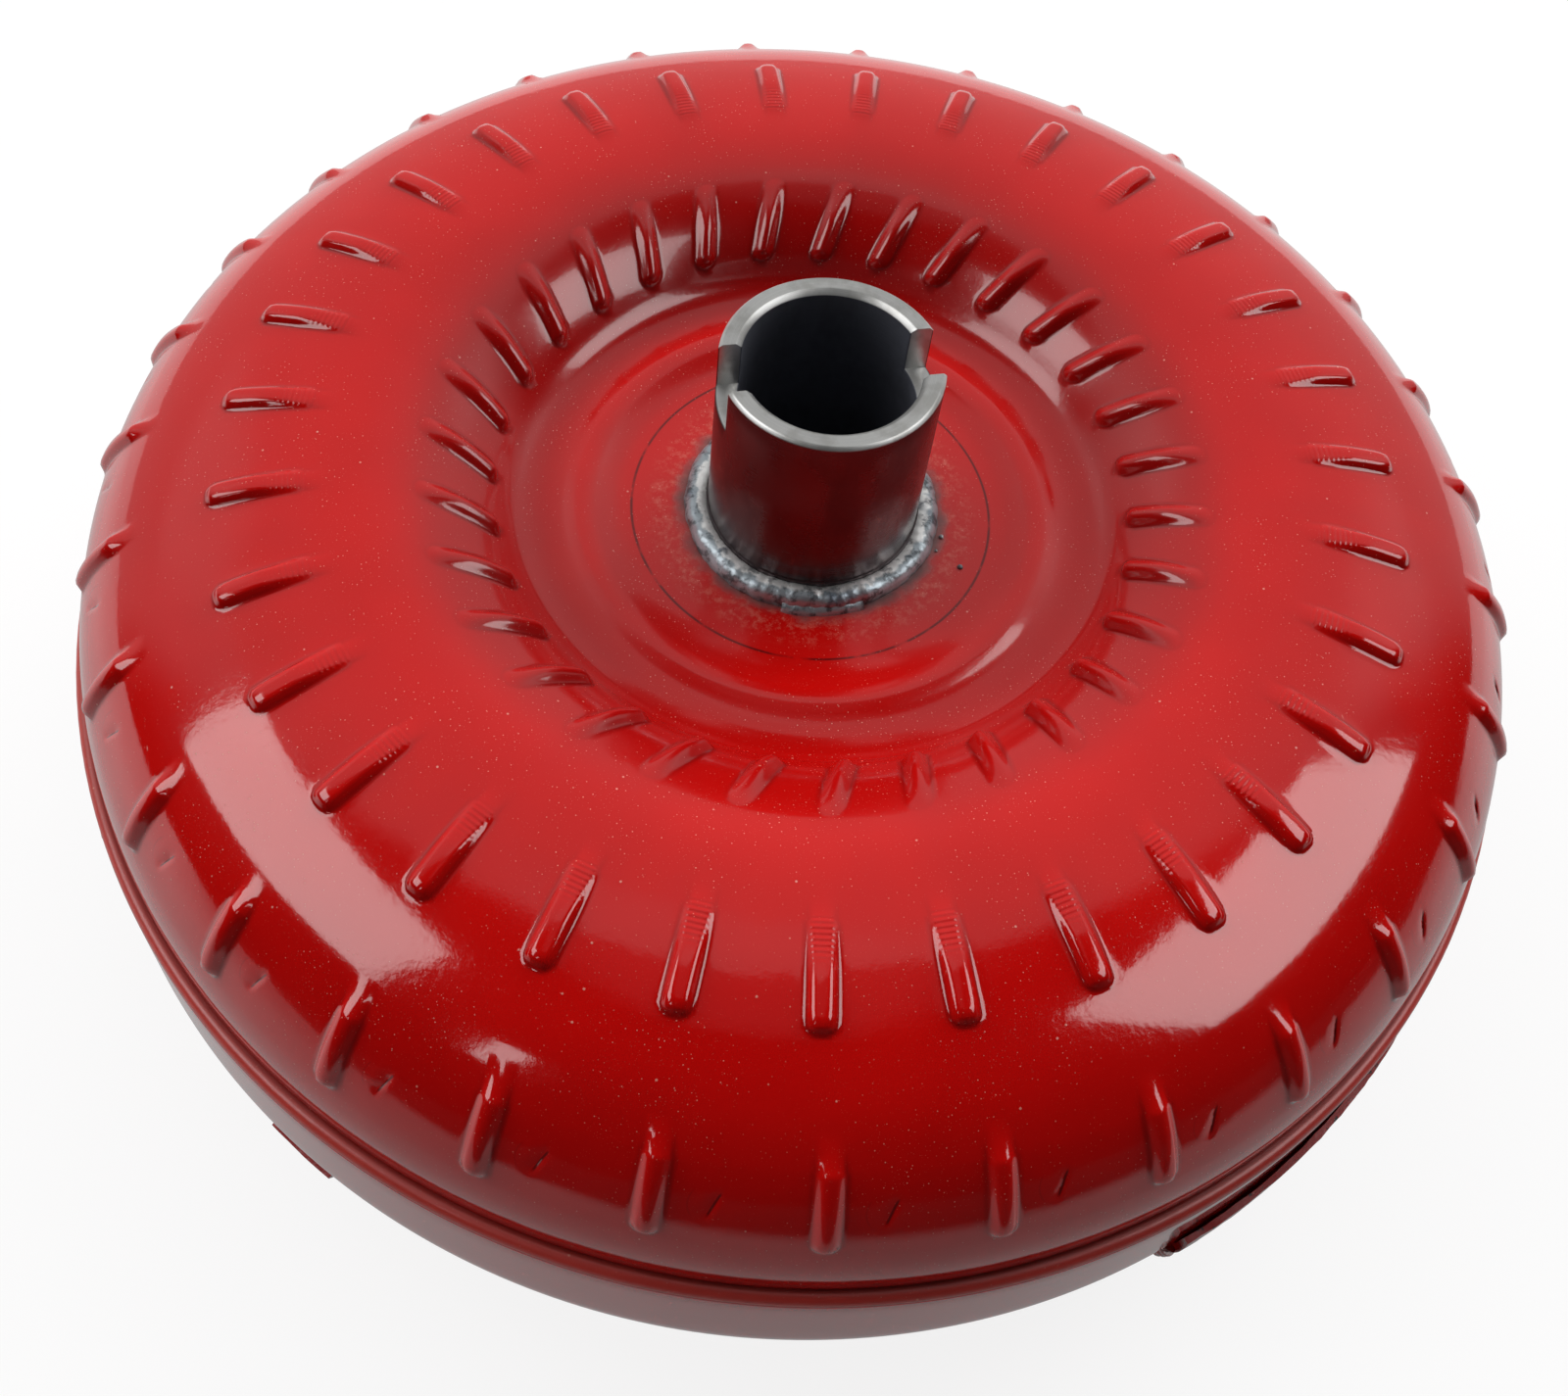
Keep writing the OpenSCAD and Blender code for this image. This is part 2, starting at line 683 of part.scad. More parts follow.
// The passage that a turbine blade fills, from its shell to the core
module turbine_passage() {
    difference() {
        union() {
            arc_slice(bowl_c, turbine_arc_r - turbine_wall, 270 - overlap, 360);
            block(bowl_inner_c[0], bowl_c[0], turbine_low_z + turbine_wall, turbine_rim_z);
            arc_slice(bowl_inner_c, turbine_arc_r - turbine_wall, bend_angle, 270 + overlap);
        }
        translate(core_c) circle(r = core_ring_r);
    }
}

module turbine_blades() {
    color(steel) intersection() {
        rotate_extrude() turbine_passage();
        around(turbine_blade_count) mirror([0, 1, 0])
            linear_extrude(crest_z) blade_plan();
    }
}

module turbine_core_ring() {
    color(steel) rotate_extrude() core_section(0, turbine_rim_z);
}

module turbine_hub() {
    color(dark_steel) difference() {
        union() {
            translate([0, 0, turbine_hub_z]) cylinder(r = turbine_hub_r, h = turbine_hub_length);
            translate([0, 0, turbine_flange_z]) cylinder(r = turbine_flange_r, h = turbine_flange_t);
        }
        splined_hole(turbine_spline_r, turbine_spline_count, turbine_hub_z, turbine_top_z);
        rivet_holes();
    }
}

module turbine_rivets() {
    under = turbine_flange_z - turbine_wall;
    color(steel) around(rivet_count) translate([rivet_circle_r, 0, 0]) {
        translate([0, 0, under - rivet_head]) cylinder(r = rivet_r * 1.6, h = rivet_head);
        translate([0, 0, under]) cylinder(r = rivet_r, h = turbine_flange_top_z - under);
        translate([0, 0, turbine_flange_top_z]) cylinder(r = rivet_r * 1.6, h = rivet_head);
    }
}

module front_race() {
    color(steel) ring(front_needle_r - needle_length / 2 - 0.5,
        front_needle_r + needle_length / 2 + 0.5, turbine_top_z, turbine_top_z + race_t);
}

// ---- Stator ----

// A vane's section: a curved blade with a round nose
module vane_section() {
    half = vane_chord / 2;
    rotate(vane_slant) {
        difference() {
            translate([-leg(vane_belly_r, half), 0]) circle(r = vane_belly_r);
            translate([-leg(vane_hollow_r, half), 0]) circle(r = vane_hollow_r);
        }
        translate([0.6, -half + vane_nose_r]) circle(r = vane_nose_r);
    }
}

module stator_wheel() {
    color("gainsboro") difference() {
        union() {
            ring(cam_r, vane_root_r, wheel_low_z, wheel_high_z);
            ring(cam_r - stator_lip, cam_r + 1, wheel_low_z, stator_low_z);
            ring(vane_tip_r, stator_ring_r, mid_z - stator_ring_w / 2,
                mid_z + stator_ring_w / 2);
            around(vane_count) translate([vane_root_r - 1.5, 0, mid_z])
                rotate([90, 0, 90]) linear_extrude(vane_tip_r - vane_root_r + 2.5)
                    vane_section();
        }
        ring(cam_r - 1, cam_r + snap_groove, stator_high_z, stator_high_z + snap_ring_t);
    }
}

module clutch_cam() {
    color(dark_steel) difference() {
        ring(cam_bore_r, cam_r - fit_gap, cam_low_z, cam_high_z);
        around(roller_count) translate([0, 0, cam_low_z - 1])
            linear_extrude(cam_high_z - cam_low_z + 2) {
                translate([roller_c_r, 0]) circle(r = pocket_r);
                polygon([[race_r, 0], [roller_c_r + pocket_r, 0],
                    [roller_c_r + pocket_r - 1.5, pocket_length], [race_r, pocket_length]]);
            }
    }
}

module clutch_rollers() {
    color(steel) around(roller_count) translate([roller_c_r, 0, cam_low_z + 0.3])
        cylinder(r = roller_r, h = cam_high_z - cam_low_z - 0.6);
}

// A folded strip that pushes each roller up its ramp
module clutch_springs() {
    start = roller_r + spring_t / 2 + 0.4;
    pitch = (pocket_length - start - spring_t / 2) / 4;
    near = roller_c_r - 2;
    far_side = roller_c_r + 1.5;
    thick = [0, spring_t];
    color("goldenrod") around(roller_count) translate([0, 0, cam_low_z + 1])
        linear_extrude(cam_high_z - cam_low_z - 2) for (i = [0 : 3]) {
            from = [i % 2 == 0 ? near : far_side, start + i * pitch - spring_t / 2];
            to = [i % 2 == 0 ? far_side : near, from[1] + pitch];
            polygon([from, to, to + thick, from + thick]);
        }
}

module stator_front_plate() {
    color(steel) ring(plate_bore_r, cam_r - fit_gap, stator_low_z, cam_low_z);
}

module stator_rear_plate() {
    color(steel) ring(plate_bore_r, cam_r - fit_gap, cam_high_z, stator_high_z);
}

// A sprung ring with a gap, in the groove of the wheel's bore
module stator_snap_ring() {
    color(dark_steel) translate([0, 0, stator_high_z]) rotate(6)
        rotate_extrude(angle = 348) block(cam_r - 3, cam_r + snap_groove - 0.3, 0.05,
            snap_ring_t - 0.05);
}

module stator_front_race() {
    color(steel) ring(front_needle_r - needle_length / 2 - 0.5,
        front_needle_r + needle_length / 2 + 0.5, stator_low_z - race_t, stator_low_z);
}

module stator_rear_race() {
    color(steel) ring(rear_needle_r - needle_length / 2 - 0.6,
        rear_needle_r + needle_length / 2 + 0.6, stator_high_z, stator_high_z + race_t);
}

module clutch_inner_race() {
    color(steel) difference() {
        translate([0, 0, cam_low_z + turn_gap])
            cylinder(r = race_r, h = cam_high_z - cam_low_z - 2 * turn_gap);
        splined_hole(stator_spline_r, stator_spline_count, cam_low_z, cam_high_z);
    }
}

// ---- Thrust bearings ----

module bearing_cage(middle_r, z) {
    half = needle_length / 2 + 0.9;
    difference() {
        ring(middle_r - half, middle_r + half, z - needle_r * 0.6, z + needle_r * 0.6);
        around(needle_count) translate([middle_r, 0, z])
            cube([needle_length + 0.4, 2 * needle_r + 0.3, 3 * needle_r], center = true);
    }
}

module bearing_needles(middle_r, z) {
    around(needle_count) translate([middle_r - needle_length / 2, 0, z])
        rotate([0, 90, 0]) cylinder(r = needle_r, h = needle_length, $fn = 24);
}

module front_bearing_cage() { color("goldenrod") bearing_cage(front_needle_r, front_needle_z); }

module front_bearing_needles() { color(steel) bearing_needles(front_needle_r, front_needle_z); }

module rear_bearing_cage() { color("goldenrod") bearing_cage(rear_needle_r, rear_needle_z); }

module rear_bearing_needles() { color(steel) bearing_needles(rear_needle_r, rear_needle_z); }

front_cover();
crank_pilot();
pilot_weld();
mounting_lugs();
lug_welds();
balance_weight();
closure_weld();
impeller_shell();
impeller_blades();
impeller_core_ring();
impeller_hub();
hub_weld();
rear_race();
cover_thrust_washer();
turbine_shell();
turbine_blades();
turbine_core_ring();
turbine_hub();
turbine_rivets();
front_race();
stator_wheel();
clutch_cam();
clutch_rollers();
clutch_springs();
stator_front_plate();
stator_rear_plate();
stator_snap_ring();
stator_front_race();
stator_rear_race();
clutch_inner_race();
front_bearing_cage();
front_bearing_needles();
rear_bearing_cage();
rear_bearing_needles();
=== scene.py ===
# A welded torque converter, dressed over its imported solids: a red enamelled housing
# with an embossed pump shell, a slotted steel hub, and the wheels that turn inside.
import json
import math

import bmesh
import bpy
from mathutils import Euler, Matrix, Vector
from mathutils.bvhtree import BVHTree


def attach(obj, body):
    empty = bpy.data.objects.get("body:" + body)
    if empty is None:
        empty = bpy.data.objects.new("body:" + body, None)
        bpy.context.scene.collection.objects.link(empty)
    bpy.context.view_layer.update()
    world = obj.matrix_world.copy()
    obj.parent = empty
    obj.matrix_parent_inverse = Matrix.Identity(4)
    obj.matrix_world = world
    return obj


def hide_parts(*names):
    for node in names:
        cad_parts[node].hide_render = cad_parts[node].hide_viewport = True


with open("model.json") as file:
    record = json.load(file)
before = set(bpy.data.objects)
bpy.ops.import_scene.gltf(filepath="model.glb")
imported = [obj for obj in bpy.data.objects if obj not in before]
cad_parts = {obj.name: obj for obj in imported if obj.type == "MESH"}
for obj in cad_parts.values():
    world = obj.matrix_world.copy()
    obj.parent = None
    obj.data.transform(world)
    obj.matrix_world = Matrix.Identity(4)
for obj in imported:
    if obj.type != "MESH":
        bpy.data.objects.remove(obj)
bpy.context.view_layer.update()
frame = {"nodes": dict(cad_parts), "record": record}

MM = 0.001
FULL_TURN = 2 * math.pi

# ---- Sizes, in millimetres and degrees; the solids' own are as in the part's source ----

COVER_R, COVER_WALL, SHOULDER_ARC_R = 166.0, 4.5, 26.0
DISH_Z, FACE_Z, JOINT_Z = 19.0, 21.0, 72.0
DISH_R = 62.0
SHOULDER_R, SHOULDER_Z = COVER_R - SHOULDER_ARC_R, FACE_Z + SHOULDER_ARC_R
SHOULDER_C = (SHOULDER_R, SHOULDER_Z)
COVER_EDGE_R, DISH_STEP = 1.6, 4.2
PILOT_R, GROUND_STEP, FIT_GAP = 21.6, 0.4, 0.05
PILOT_ROOT_R = PILOT_R + GROUND_STEP

SHELL_WALL, RIM_STEP, RIM_HEIGHT, CROWN_HEIGHT = 3.5, 2.8, 4.0, 4.4
RIM_R = COVER_R - RIM_STEP
SPIGOT_R, SPIGOT_Z = COVER_R - COVER_WALL - FIT_GAP, JOINT_Z - 6.0
SIDE_ARC_R, CREST_R = 38.0, 103.5
CREST_Z = JOINT_Z + RIM_HEIGHT + SIDE_ARC_R + CROWN_HEIGHT
INNER_ARC_R, VALLEY_Z, VALLEY_ARC_R = 44.0, JOINT_Z + 25.4, 11.5
RIDGE_RISE, RIDGE_ARC_R, PAD_FILLET_R = 2.0, 5.5, 6.0
PAD_Z = VALLEY_Z - 1.4
PAD_LINE_R = 41.0
CLOSURE_R, GROOVE_Z = 164.0, JOINT_Z + 0.95

HUB_R, HUB_BORE_R, HUB_TOP_Z = 23.8, 19.05, PAD_Z + 51.0
HUB_ROOT_R, HUB_ROOT_Z = HUB_R + GROUND_STEP, PAD_Z + 4.5
HUB_FLANGE_R, HUB_FLANGE_T = 36.0, 5.0
SLOT_WIDTH, SLOT_DEPTH = 12.5, 12.5
HUB_OUTER_CHAMFER, HUB_INNER_CHAMFER, HUB_EDGE = 0.8, 1.2, 0.3
SLOT_FLOOR_Z = HUB_TOP_Z - SLOT_DEPTH

RIB_COUNT = 31
PERIOD = 360.0 / RIB_COUNT
INNER_PHASE, OUTER_PHASE, SIDE_PHASE = 6.7, 3.9, 4.9
DENT_PHASE, DENT_R, DENT_SLOPE = SIDE_PHASE + 4.2, 156.6, 0.45
DENT_RISE = math.sqrt(SIDE_ARC_R ** 2 - (DENT_R - RIM_R + SIDE_ARC_R) ** 2)
DENT_Z = JOINT_Z + RIM_HEIGHT + DENT_RISE
DENT_LEAN = DENT_SLOPE * (DENT_R - RIM_R + SIDE_ARC_R) / SIDE_ARC_R

LUG_COUNT, LUG_FIRST, LUG_ANGLE = 3, 180.6, 25.0
LUG_PAD, LUG_LEG, LUG_RISE = 9.0, 2.2, 3.0
LUG_AZIMUTHS = [LUG_FIRST + 360 / LUG_COUNT * i for i in range(LUG_COUNT)]
LUG_INNER_R, LUG_OUTER_R, BOLT_R, TAP_DRILL_R, TAP_RELIEF = 129.8, 162.3, 146.05, 4.25, 1.5
WEIGHT_AZIMUTH, WEIGHT_ANGLE, WEIGHT_T = 221.0, 6.0, 2.8
WEIGHT_FROM, WEIGHT_TO = 303.0, 331.0
SEAT_GAP = 0.02

# ---- The camera and the photo's image points ----

FRAME_W, FRAME_H = 1568, 1396.5
LONG_SIDE = max(FRAME_W, FRAME_H)
CAMERA_PLACE = Vector((-73.87, -234.29, 421.55)) * MM
CAMERA_TURN = (36.605, -4.563, -10.254)
CAMERA_LENS, CAMERA_SENSOR = 40.909, 36.0
CAMERA_SHIFT_X, CAMERA_SHIFT_Y = -0.00344, -0.12031
SEARCH_FROM, SEARCH_STEP, SEARCH_COUNT = 0.2, 0.002, 300

IMAGE_POINTS = {
    "left_edge": (76.4, None), "right_edge": (1502.3, None),
    "top_edge": (None, 47.0), "bottom_edge": (None, 1343.6),
    "hub_far_rim": (None, 276.1),
    "slot_corner_right": (947.6, 371.1), "slot_corner_left": (729.9, 394.8),
    "near_inner_rib_foot": (831.6, 811.2),
    "near_outer_rib_end": (824.7, 1034.0),
    "near_side_rib_end": (827.2, 1252.5),
    "near_dent": (894.0, 1213.0),
    "lug_right_corner": (1407.2, 1026.1), "lug_left_corner": (1186.4, 1242.6),
    "weld_stop": (841.0, 600.0),
    "spatter_a": (941.2, 537.3), "spatter_b": (936.0, 551.0), "spatter_c": (960.0, 567.5),
}
SPATTER_NAMES = ("spatter_a", "spatter_b", "spatter_c")


def linked(name, data):
    """A new object in the scene that holds some data."""
    made = bpy.data.objects.new(name, data)
    bpy.context.scene.collection.objects.link(made)
    return made


def make_camera():
    data = bpy.data.cameras.new("photo_camera")
    data.sensor_fit = "AUTO"
    data.sensor_width = CAMERA_SENSOR
    data.lens = CAMERA_LENS
    data.shift_x, data.shift_y = CAMERA_SHIFT_X, CAMERA_SHIFT_Y
    data.clip_start, data.clip_end = 0.01, 20.0
    camera = linked("photo_camera", data)
    camera.location = CAMERA_PLACE
    camera.rotation_euler = Euler([math.radians(a) for a in CAMERA_TURN])
    bpy.context.scene.camera = camera
    bpy.context.view_layer.update()
    return camera


camera = make_camera()


def view_ray(name):
    """The ray from the camera through an image point."""
    x, y = IMAGE_POINTS[name]
    aim = Vector((x - FRAME_W / 2 + CAMERA_SHIFT_X * LONG_SIDE,
        FRAME_H / 2 - y + CAMERA_SHIFT_Y * LONG_SIDE,
        -LONG_SIDE * CAMERA_LENS / CAMERA_SENSOR))
    return camera.matrix_world.translation, (camera.matrix_world.to_3x3() @ aim).normalized()


def shown_at(place):
    """Where a place in the model, in metres, shows in the photo's frame."""
    x, y, z = camera.matrix_world.inverted() @ Vector(place)
    scale = LONG_SIDE * CAMERA_LENS / CAMERA_SENSOR / -z
    return (FRAME_W / 2 - CAMERA_SHIFT_X * LONG_SIDE + x * scale,
        FRAME_H / 2 + CAMERA_SHIFT_Y * LONG_SIDE - y * scale)


def placed(name, carrier):
    """The place on a finished carrier behind an image point. A ray that misses the carrier
    takes the place nearest to it."""
    work = bmesh.new()
    work.from_mesh(carrier.data)
    tree = BVHTree.FromBMesh(work)
    work.free()
    start, way = view_ray(name)
    spot = tree.ray_cast(start, way)[0]
    if spot is None:
        tries = [tree.find_nearest(start + way * (SEARCH_FROM + SEARCH_STEP * i))
            for i in range(SEARCH_COUNT)]
        spot = min(tries, key=lambda hit: hit[3])[0]
    return spot


# ---- Node trees, written as arithmetic ----


class Wire:
    """An output socket. Arithmetic on wires and numbers adds Math nodes to their tree."""

    def __init__(self, tree, socket):
        self.tree = tree
        self.socket = socket

    def math(self, operation, *others):
        return self.tree.node("ShaderNodeMath", {"operation": operation},
            dict(enumerate((self, *others))))

    def swapped(self, operation, other):
        return self.tree.node("ShaderNodeMath", {"operation": operation}, {0: other, 1: self})

    def __add__(self, other):
        return self.math("ADD", other)

    __radd__ = __add__

    def __sub__(self, other):
        return self.math("SUBTRACT", other)

    def __rsub__(self, other):
        return self.swapped("SUBTRACT", other)

    def __mul__(self, other):
        return self.math("MULTIPLY", other)

    __rmul__ = __mul__

    def __truediv__(self, other):
        return self.math("DIVIDE", other)

    def __rtruediv__(self, other):
        return self.swapped("DIVIDE", other)

    def __pow__(self, other):
        return self.math("POWER", other)

    def __abs__(self):
        return self.math("ABSOLUTE")

    def step(self, low, high, to_low=0.0, to_high=1.0):
        """A smooth step from to_low, below low, to to_high, above high."""
        return self.tree.node("ShaderNodeMapRange", {"interpolation_type": "SMOOTHSTEP"},
            {0: self, 1: low, 2: high, 3: to_low, 4: to_high})

    def drop(self, low, high, top=1.0):
        """A smooth step down from top, below low, to nothing, above high."""
        return self.step(low, high, top, 0.0)

    def either(self, other):
        """The larger of two masks."""
        return self.math("MAXIMUM", other)

    def scaled(self, factor):
        """A vector wire times a number or a number wire."""
        return self.tree.node("ShaderNodeVectorMath", {"operation": "SCALE"},
            {0: self, "Scale": factor})

    def times(self, other):
        """A vector wire times a vector, axis by axis."""
        return self.tree.node("ShaderNodeVectorMath", {"operation": "MULTIPLY"},
            {0: self, 1: other})

    def axis(self, name):
        """One axis of a vector wire."""
        return self.tree.node("ShaderNodeSeparateXYZ", None, {0: self}, name)

    def azimuth(self):
        """The turn about the axis at which a vector wire points, in degrees."""
        return self.axis("Y").math("ARCTAN2", self.axis("X")).math("DEGREES")


class Tree:
    """A node tree under construction."""

    def __init__(self, tree):
        self.tree = tree

    def node(self, kind, settings=None, values=None, out=0):
        """Adds one node: its settings first, then the values or wires of its sockets."""
        made = self.tree.nodes.new(kind)
        for name, value in (settings or {}).items():
            setattr(made, name, value)
        for key, value in (values or {}).items():
            if isinstance(value, Wire):
                self.tree.links.new(value.socket, made.inputs[key])
            else:
                made.inputs[key].default_value = value
        return Wire(self, made.outputs[out])

    def output(self, kind, label, wire):
        """Adds the tree's last node, and links a wire to its socket of that label."""
        made = self.tree.nodes.new(kind)
        self.tree.links.new(wire.socket, made.inputs[label])


def from_nearest(azimuth, phase, radius):
    """The distance round the axis from the nearest rib or mark of a ring, in millimetres."""
    turn = (azimuth - phase) / PERIOD
    return (turn - turn.math("ROUND")) * radius * math.radians(PERIOD)


def shade(red, green, blue):
    """A colour given as it shows on screen, 0 to 255, as the linear values that nodes take."""
    linear = []
    for value in (red, green, blue):
        part = value / 255
        linear.append(part / 12.92 if part <= 0.04045 else ((part + 0.055) / 1.055) ** 2.4)
    return tuple(linear)


def darker(tint, share):
    return tuple(part * share for part in tint)


class Finish(Tree):
    """A material's tree, with the patterns that this object's finishes share."""

    def __init__(self, name):
        self.material = bpy.data.materials.new(name)
        self.material.use_nodes = True
        super().__init__(self.material.node_tree)
        self.tree.nodes.clear()
        self.place = self.node("ShaderNodeTexCoord", out="Object")

    def pattern(self, kind, size, stretch, settings, out=0):
        """A texture whose features are about size millimetres across."""
        place = self.place.times(stretch) if stretch else self.place
        return self.node(kind, None,
            {"Vector": place, "Scale": 1 / (size * MM), **settings}, out)

    def noise(self, size, detail=3.0, stretch=None, rough=0.55):
        return self.pattern("ShaderNodeTexNoise", size, stretch,
            {"Detail": detail, "Roughness": rough})

    def cells(self, size, out="Distance", stretch=None):
        return self.pattern("ShaderNodeTexVoronoi", size, stretch, {}, out)

    def height(self):
        """The z of the surface, in millimetres."""
        return self.place.axis("Z") * 1000.0

    def radius(self):
        """The distance from the axis, in millimetres."""
        flat = self.place.times((1.0, 1.0, 0.0))
        length = self.node("ShaderNodeVectorMath", {"operation": "LENGTH"}, {0: flat}, "Value")
        return length * 1000.0

    def across(self, phase, radius):
        return from_nearest(self.place.azimuth(), phase, radius)

    def attribute(self, name):
        return self.node("ShaderNodeAttribute", {"attribute_name": name}, None, "Fac")

    def mix(self, factor, one, other):
        return self.node("ShaderNodeMix", {"data_type": "RGBA"},
            {0: factor, 6: (*one, 1.0) if isinstance(one, tuple) else one,
             7: (*other, 1.0) if isinstance(other, tuple) else other}, 2)

    def bump(self, height, depth, below=None):
        """A bump of depth millimetres where height goes from 0 to 1."""
        values = {"Strength": 1.0, "Distance": depth * MM, "Height": height}
        if below is not None:
            values["Normal"] = below
        return self.node("ShaderNodeBump", None, values)

    def finish(self, colour, roughness, normal, metallic=0.0, coat=0.0):
        values = {"Base Color": colour, "Roughness": roughness, "Normal": normal,
            "Metallic": metallic, "Coat Weight": coat, "Coat Roughness": COAT_ROUGHNESS}
        shader = self.node("ShaderNodeBsdfPrincipled", None, values)
        self.output("ShaderNodeOutputMaterial", "Surface", shader)
        return self.material


# ---- Finishes ----

COAT_ROUGHNESS = 0.05
ENAMEL = shade(193, 9, 6)
ENAMEL_DEEP = shade(186, 7, 5)
# Pale pink dust; on matt paint it also stands for a painted reflection of the pale floor.
DUST_AND_SHEEN = shade(218, 146, 126)
# A dark red for grime in the chips, and for painted shade at the ribs' feet, the grooves and the
# dents' slits.
GRIME_AND_SHADE = shade(40, 9, 10)
SCORCH = shade(62, 56, 54)
# A darker red, painted in as shade from the valley up the inner slope.
VALLEY_SHADE = shade(128, 4, 4)
DARKER_RED = shade(92, 16, 15)

# Where the paint changes, as the two ends of each soft step, in millimetres from the axis.
VALLEY_SHADE_BEGINS, VALLEY_SHADE_ENDS = (54.0, 63.0), (82.0, 94.0)
SATIN_ENDS = (82.0, 104.0)
SCORCH_ENDS, RUBBED_ENDS = (31.0, 35.5), (34.0, 39.0)
DUSTIER_ENDS = (30.0, 52.0)
STRIPES_BEGIN, STRIPES_END = (109.0, 110.5), (115.0, 120.0)
# The stripes' pitch, how far a dent's hooked line stands from its slit, and how it bends.
STRIPE_PITCH, HOOK_AWAY, HOOK_BEND = 1.15, 4.7, 0.16


def caught_dust(f, r):
    """A mask of the specks, grit and fibres caught in the paint, thicker near the weld."""
    patch = f.noise(24.0, 3.0).step(0.40, 0.66, 0.3, 1.0)
    chance = f.node("ShaderNodeSeparateColor", None, {0: f.cells(0.9, "Color")}, 0)
    chosen = (chance + r.drop(*DUSTIER_ENDS) * 0.3).step(0.58, 0.64)
    specks = f.cells(0.9).drop(0.08, 0.18) * chosen
    grit = f.cells(0.55).drop(0.05, 0.15, 0.5)
    big_speck = f.cells(6.5).drop(0.025, 0.045)
    fibre_line = f.cells(7.0, stretch=(1.0, 0.2, 1.0)).drop(0.015, 0.035)
    fibres = fibre_line * f.noise(11.0).step(0.52, 0.60) * 0.7
    return (specks * patch).either(grit * patch).either(big_speck).either(fibres)


def dent_slit_shade(f, r, z):
    """A mask of painted shade: the dark slit and the faint hooked line at each dent of the side.
    """
    lift = z - DENT_Z
    beside = f.across(DENT_PHASE, r)
    slit = abs(beside - lift * DENT_SLOPE).drop(0.10, 0.32)
    hook = abs(beside + HOOK_AWAY - lift * lift * HOOK_BEND).drop(0.06, 0.26, 0.25)
    return slit.either(hook) * abs(lift).drop(1.7, 2.6) * r.step(150.0, 151.0)


def rib_stripes(f, r):
    """The fine rings that the press left across the upper end of each outer rib."""
    on_rib = abs(f.across(OUTER_PHASE, r)).drop(1.8, 2.5)
    striped = on_rib * r.step(*STRIPES_BEGIN) * r.drop(*STRIPES_END)
    return (r * (FULL_TURN / STRIPE_PITCH)).math("SINE") * striped


def enamel(name, ribbed=False, dust=1.0, worn=0.0, matt=0.0):
    """Gloss red enamel over pressed steel, with dust and fibres caught in the paint, and painted
    shade in the valley and the groove by the closure. A ribbed piece has the shell's own marks,
    with painted shade at the ribs' feet, the pad line and the dents' slits. Matt paint is paled,
    partly as a painted reflection, and worn paint made a darker red; dust, worn and matt go
    from 0 to 1."""
    f = Finish(name)
    r, z = f.radius(), f.height()
    colour = f.mix(f.noise(38.0, 2.0).step(0.35, 0.65), ENAMEL, ENAMEL_DEEP)
    # Painted shade: a darker red from 54 to 94 mm from the axis, over the valley and its inner
    # slope.
    colour = f.mix(r.step(*VALLEY_SHADE_BEGINS) * r.drop(*VALLEY_SHADE_ENDS) * 0.35, colour, VALLEY_SHADE)
    # Matt paint is made paler towards the dust pink: partly dust, partly a painted reflection of
    # the pale floor.
    colour = f.mix(matt * 0.16, colour, DUST_AND_SHEEN)
    dusty = caught_dust(f, r) * dust
    colour = f.mix(dusty * 0.62, colour, DUST_AND_SHEEN)
    # Painted shade: a dark line along the groove where the closure bead meets the shell's rim.
    groove = abs(z - GROOVE_Z).drop(0.1, 0.4) * r.drop(CLOSURE_R - 0.4, CLOSURE_R + 0.3)
    colour = f.mix(groove * 0.45, colour, GRIME_AND_SHADE)
    low = f.bump(f.noise(14.0, 2.0), 0.04)
    if ribbed:
        # Painted shade: darker red along the ribs' feet, where shade falls in the crease.
        colour = f.mix(f.attribute("rib_root") * 0.42, colour, GRIME_AND_SHADE)
        # Painted shade: a dark, broken line in the groove at the pad's edge.
        pad_line_shade = abs(r - PAD_LINE_R).drop(0.12, 0.42) * f.noise(6.0).step(0.3, 0.5)
        colour = f.mix(pad_line_shade * 0.75, colour, GRIME_AND_SHADE)
        # Painted shade: the dents' slits and hooked lines drawn dark.
        colour = f.mix(dent_slit_shade(f, r, z) * 0.7, colour, GRIME_AND_SHADE)
        low = f.bump(rib_stripes(f, r), 0.045, below=low)
        burnt = (r + f.noise(5.0, 4.0) * 6.0).drop(*SCORCH_ENDS)
        rubbed = f.noise(2.2, 6.0, rough=0.8).step(0.46, 0.70) * r.drop(*RUBBED_ENDS, 0.3)
        colour = f.mix(rubbed, colour, DUST_AND_SHEEN)
        colour = f.mix(burnt * 0.8, colour, SCORCH)
        dusty = dusty.either(burnt)
    if worn:
        # Worn pieces are mixed towards a darker red all over.
        colour = f.mix(0.35 * worn, colour, DARKER_RED)
        chips = f.noise(2.6, 5.0, rough=0.7).step(0.60, 0.66) * worn
        colour = f.mix(chips, colour, GRIME_AND_SHADE)
        low = f.bump(f.noise(1.6, 4.0), 0.12, below=low)
    satin = r.drop(*SATIN_ENDS)
    normal = f.bump(f.noise(2.1, 2.0), 0.026, below=low)
    normal = f.bump(f.noise(0.7, 2.0), 0.010, below=normal)
    normal = f.bump(f.noise(0.8, 2.0) * satin, 0.014, below=normal)
    normal = f.bump(dusty, 0.02, below=normal)
    roughness = f.noise(9.0, 3.0) * 0.04 + 0.07 + dusty * 0.4 + satin * 0.08 \
        + worn * 0.15 + matt * 0.3
    return f.finish(colour, roughness, normal, coat=0.5 * (1.0 - matt))


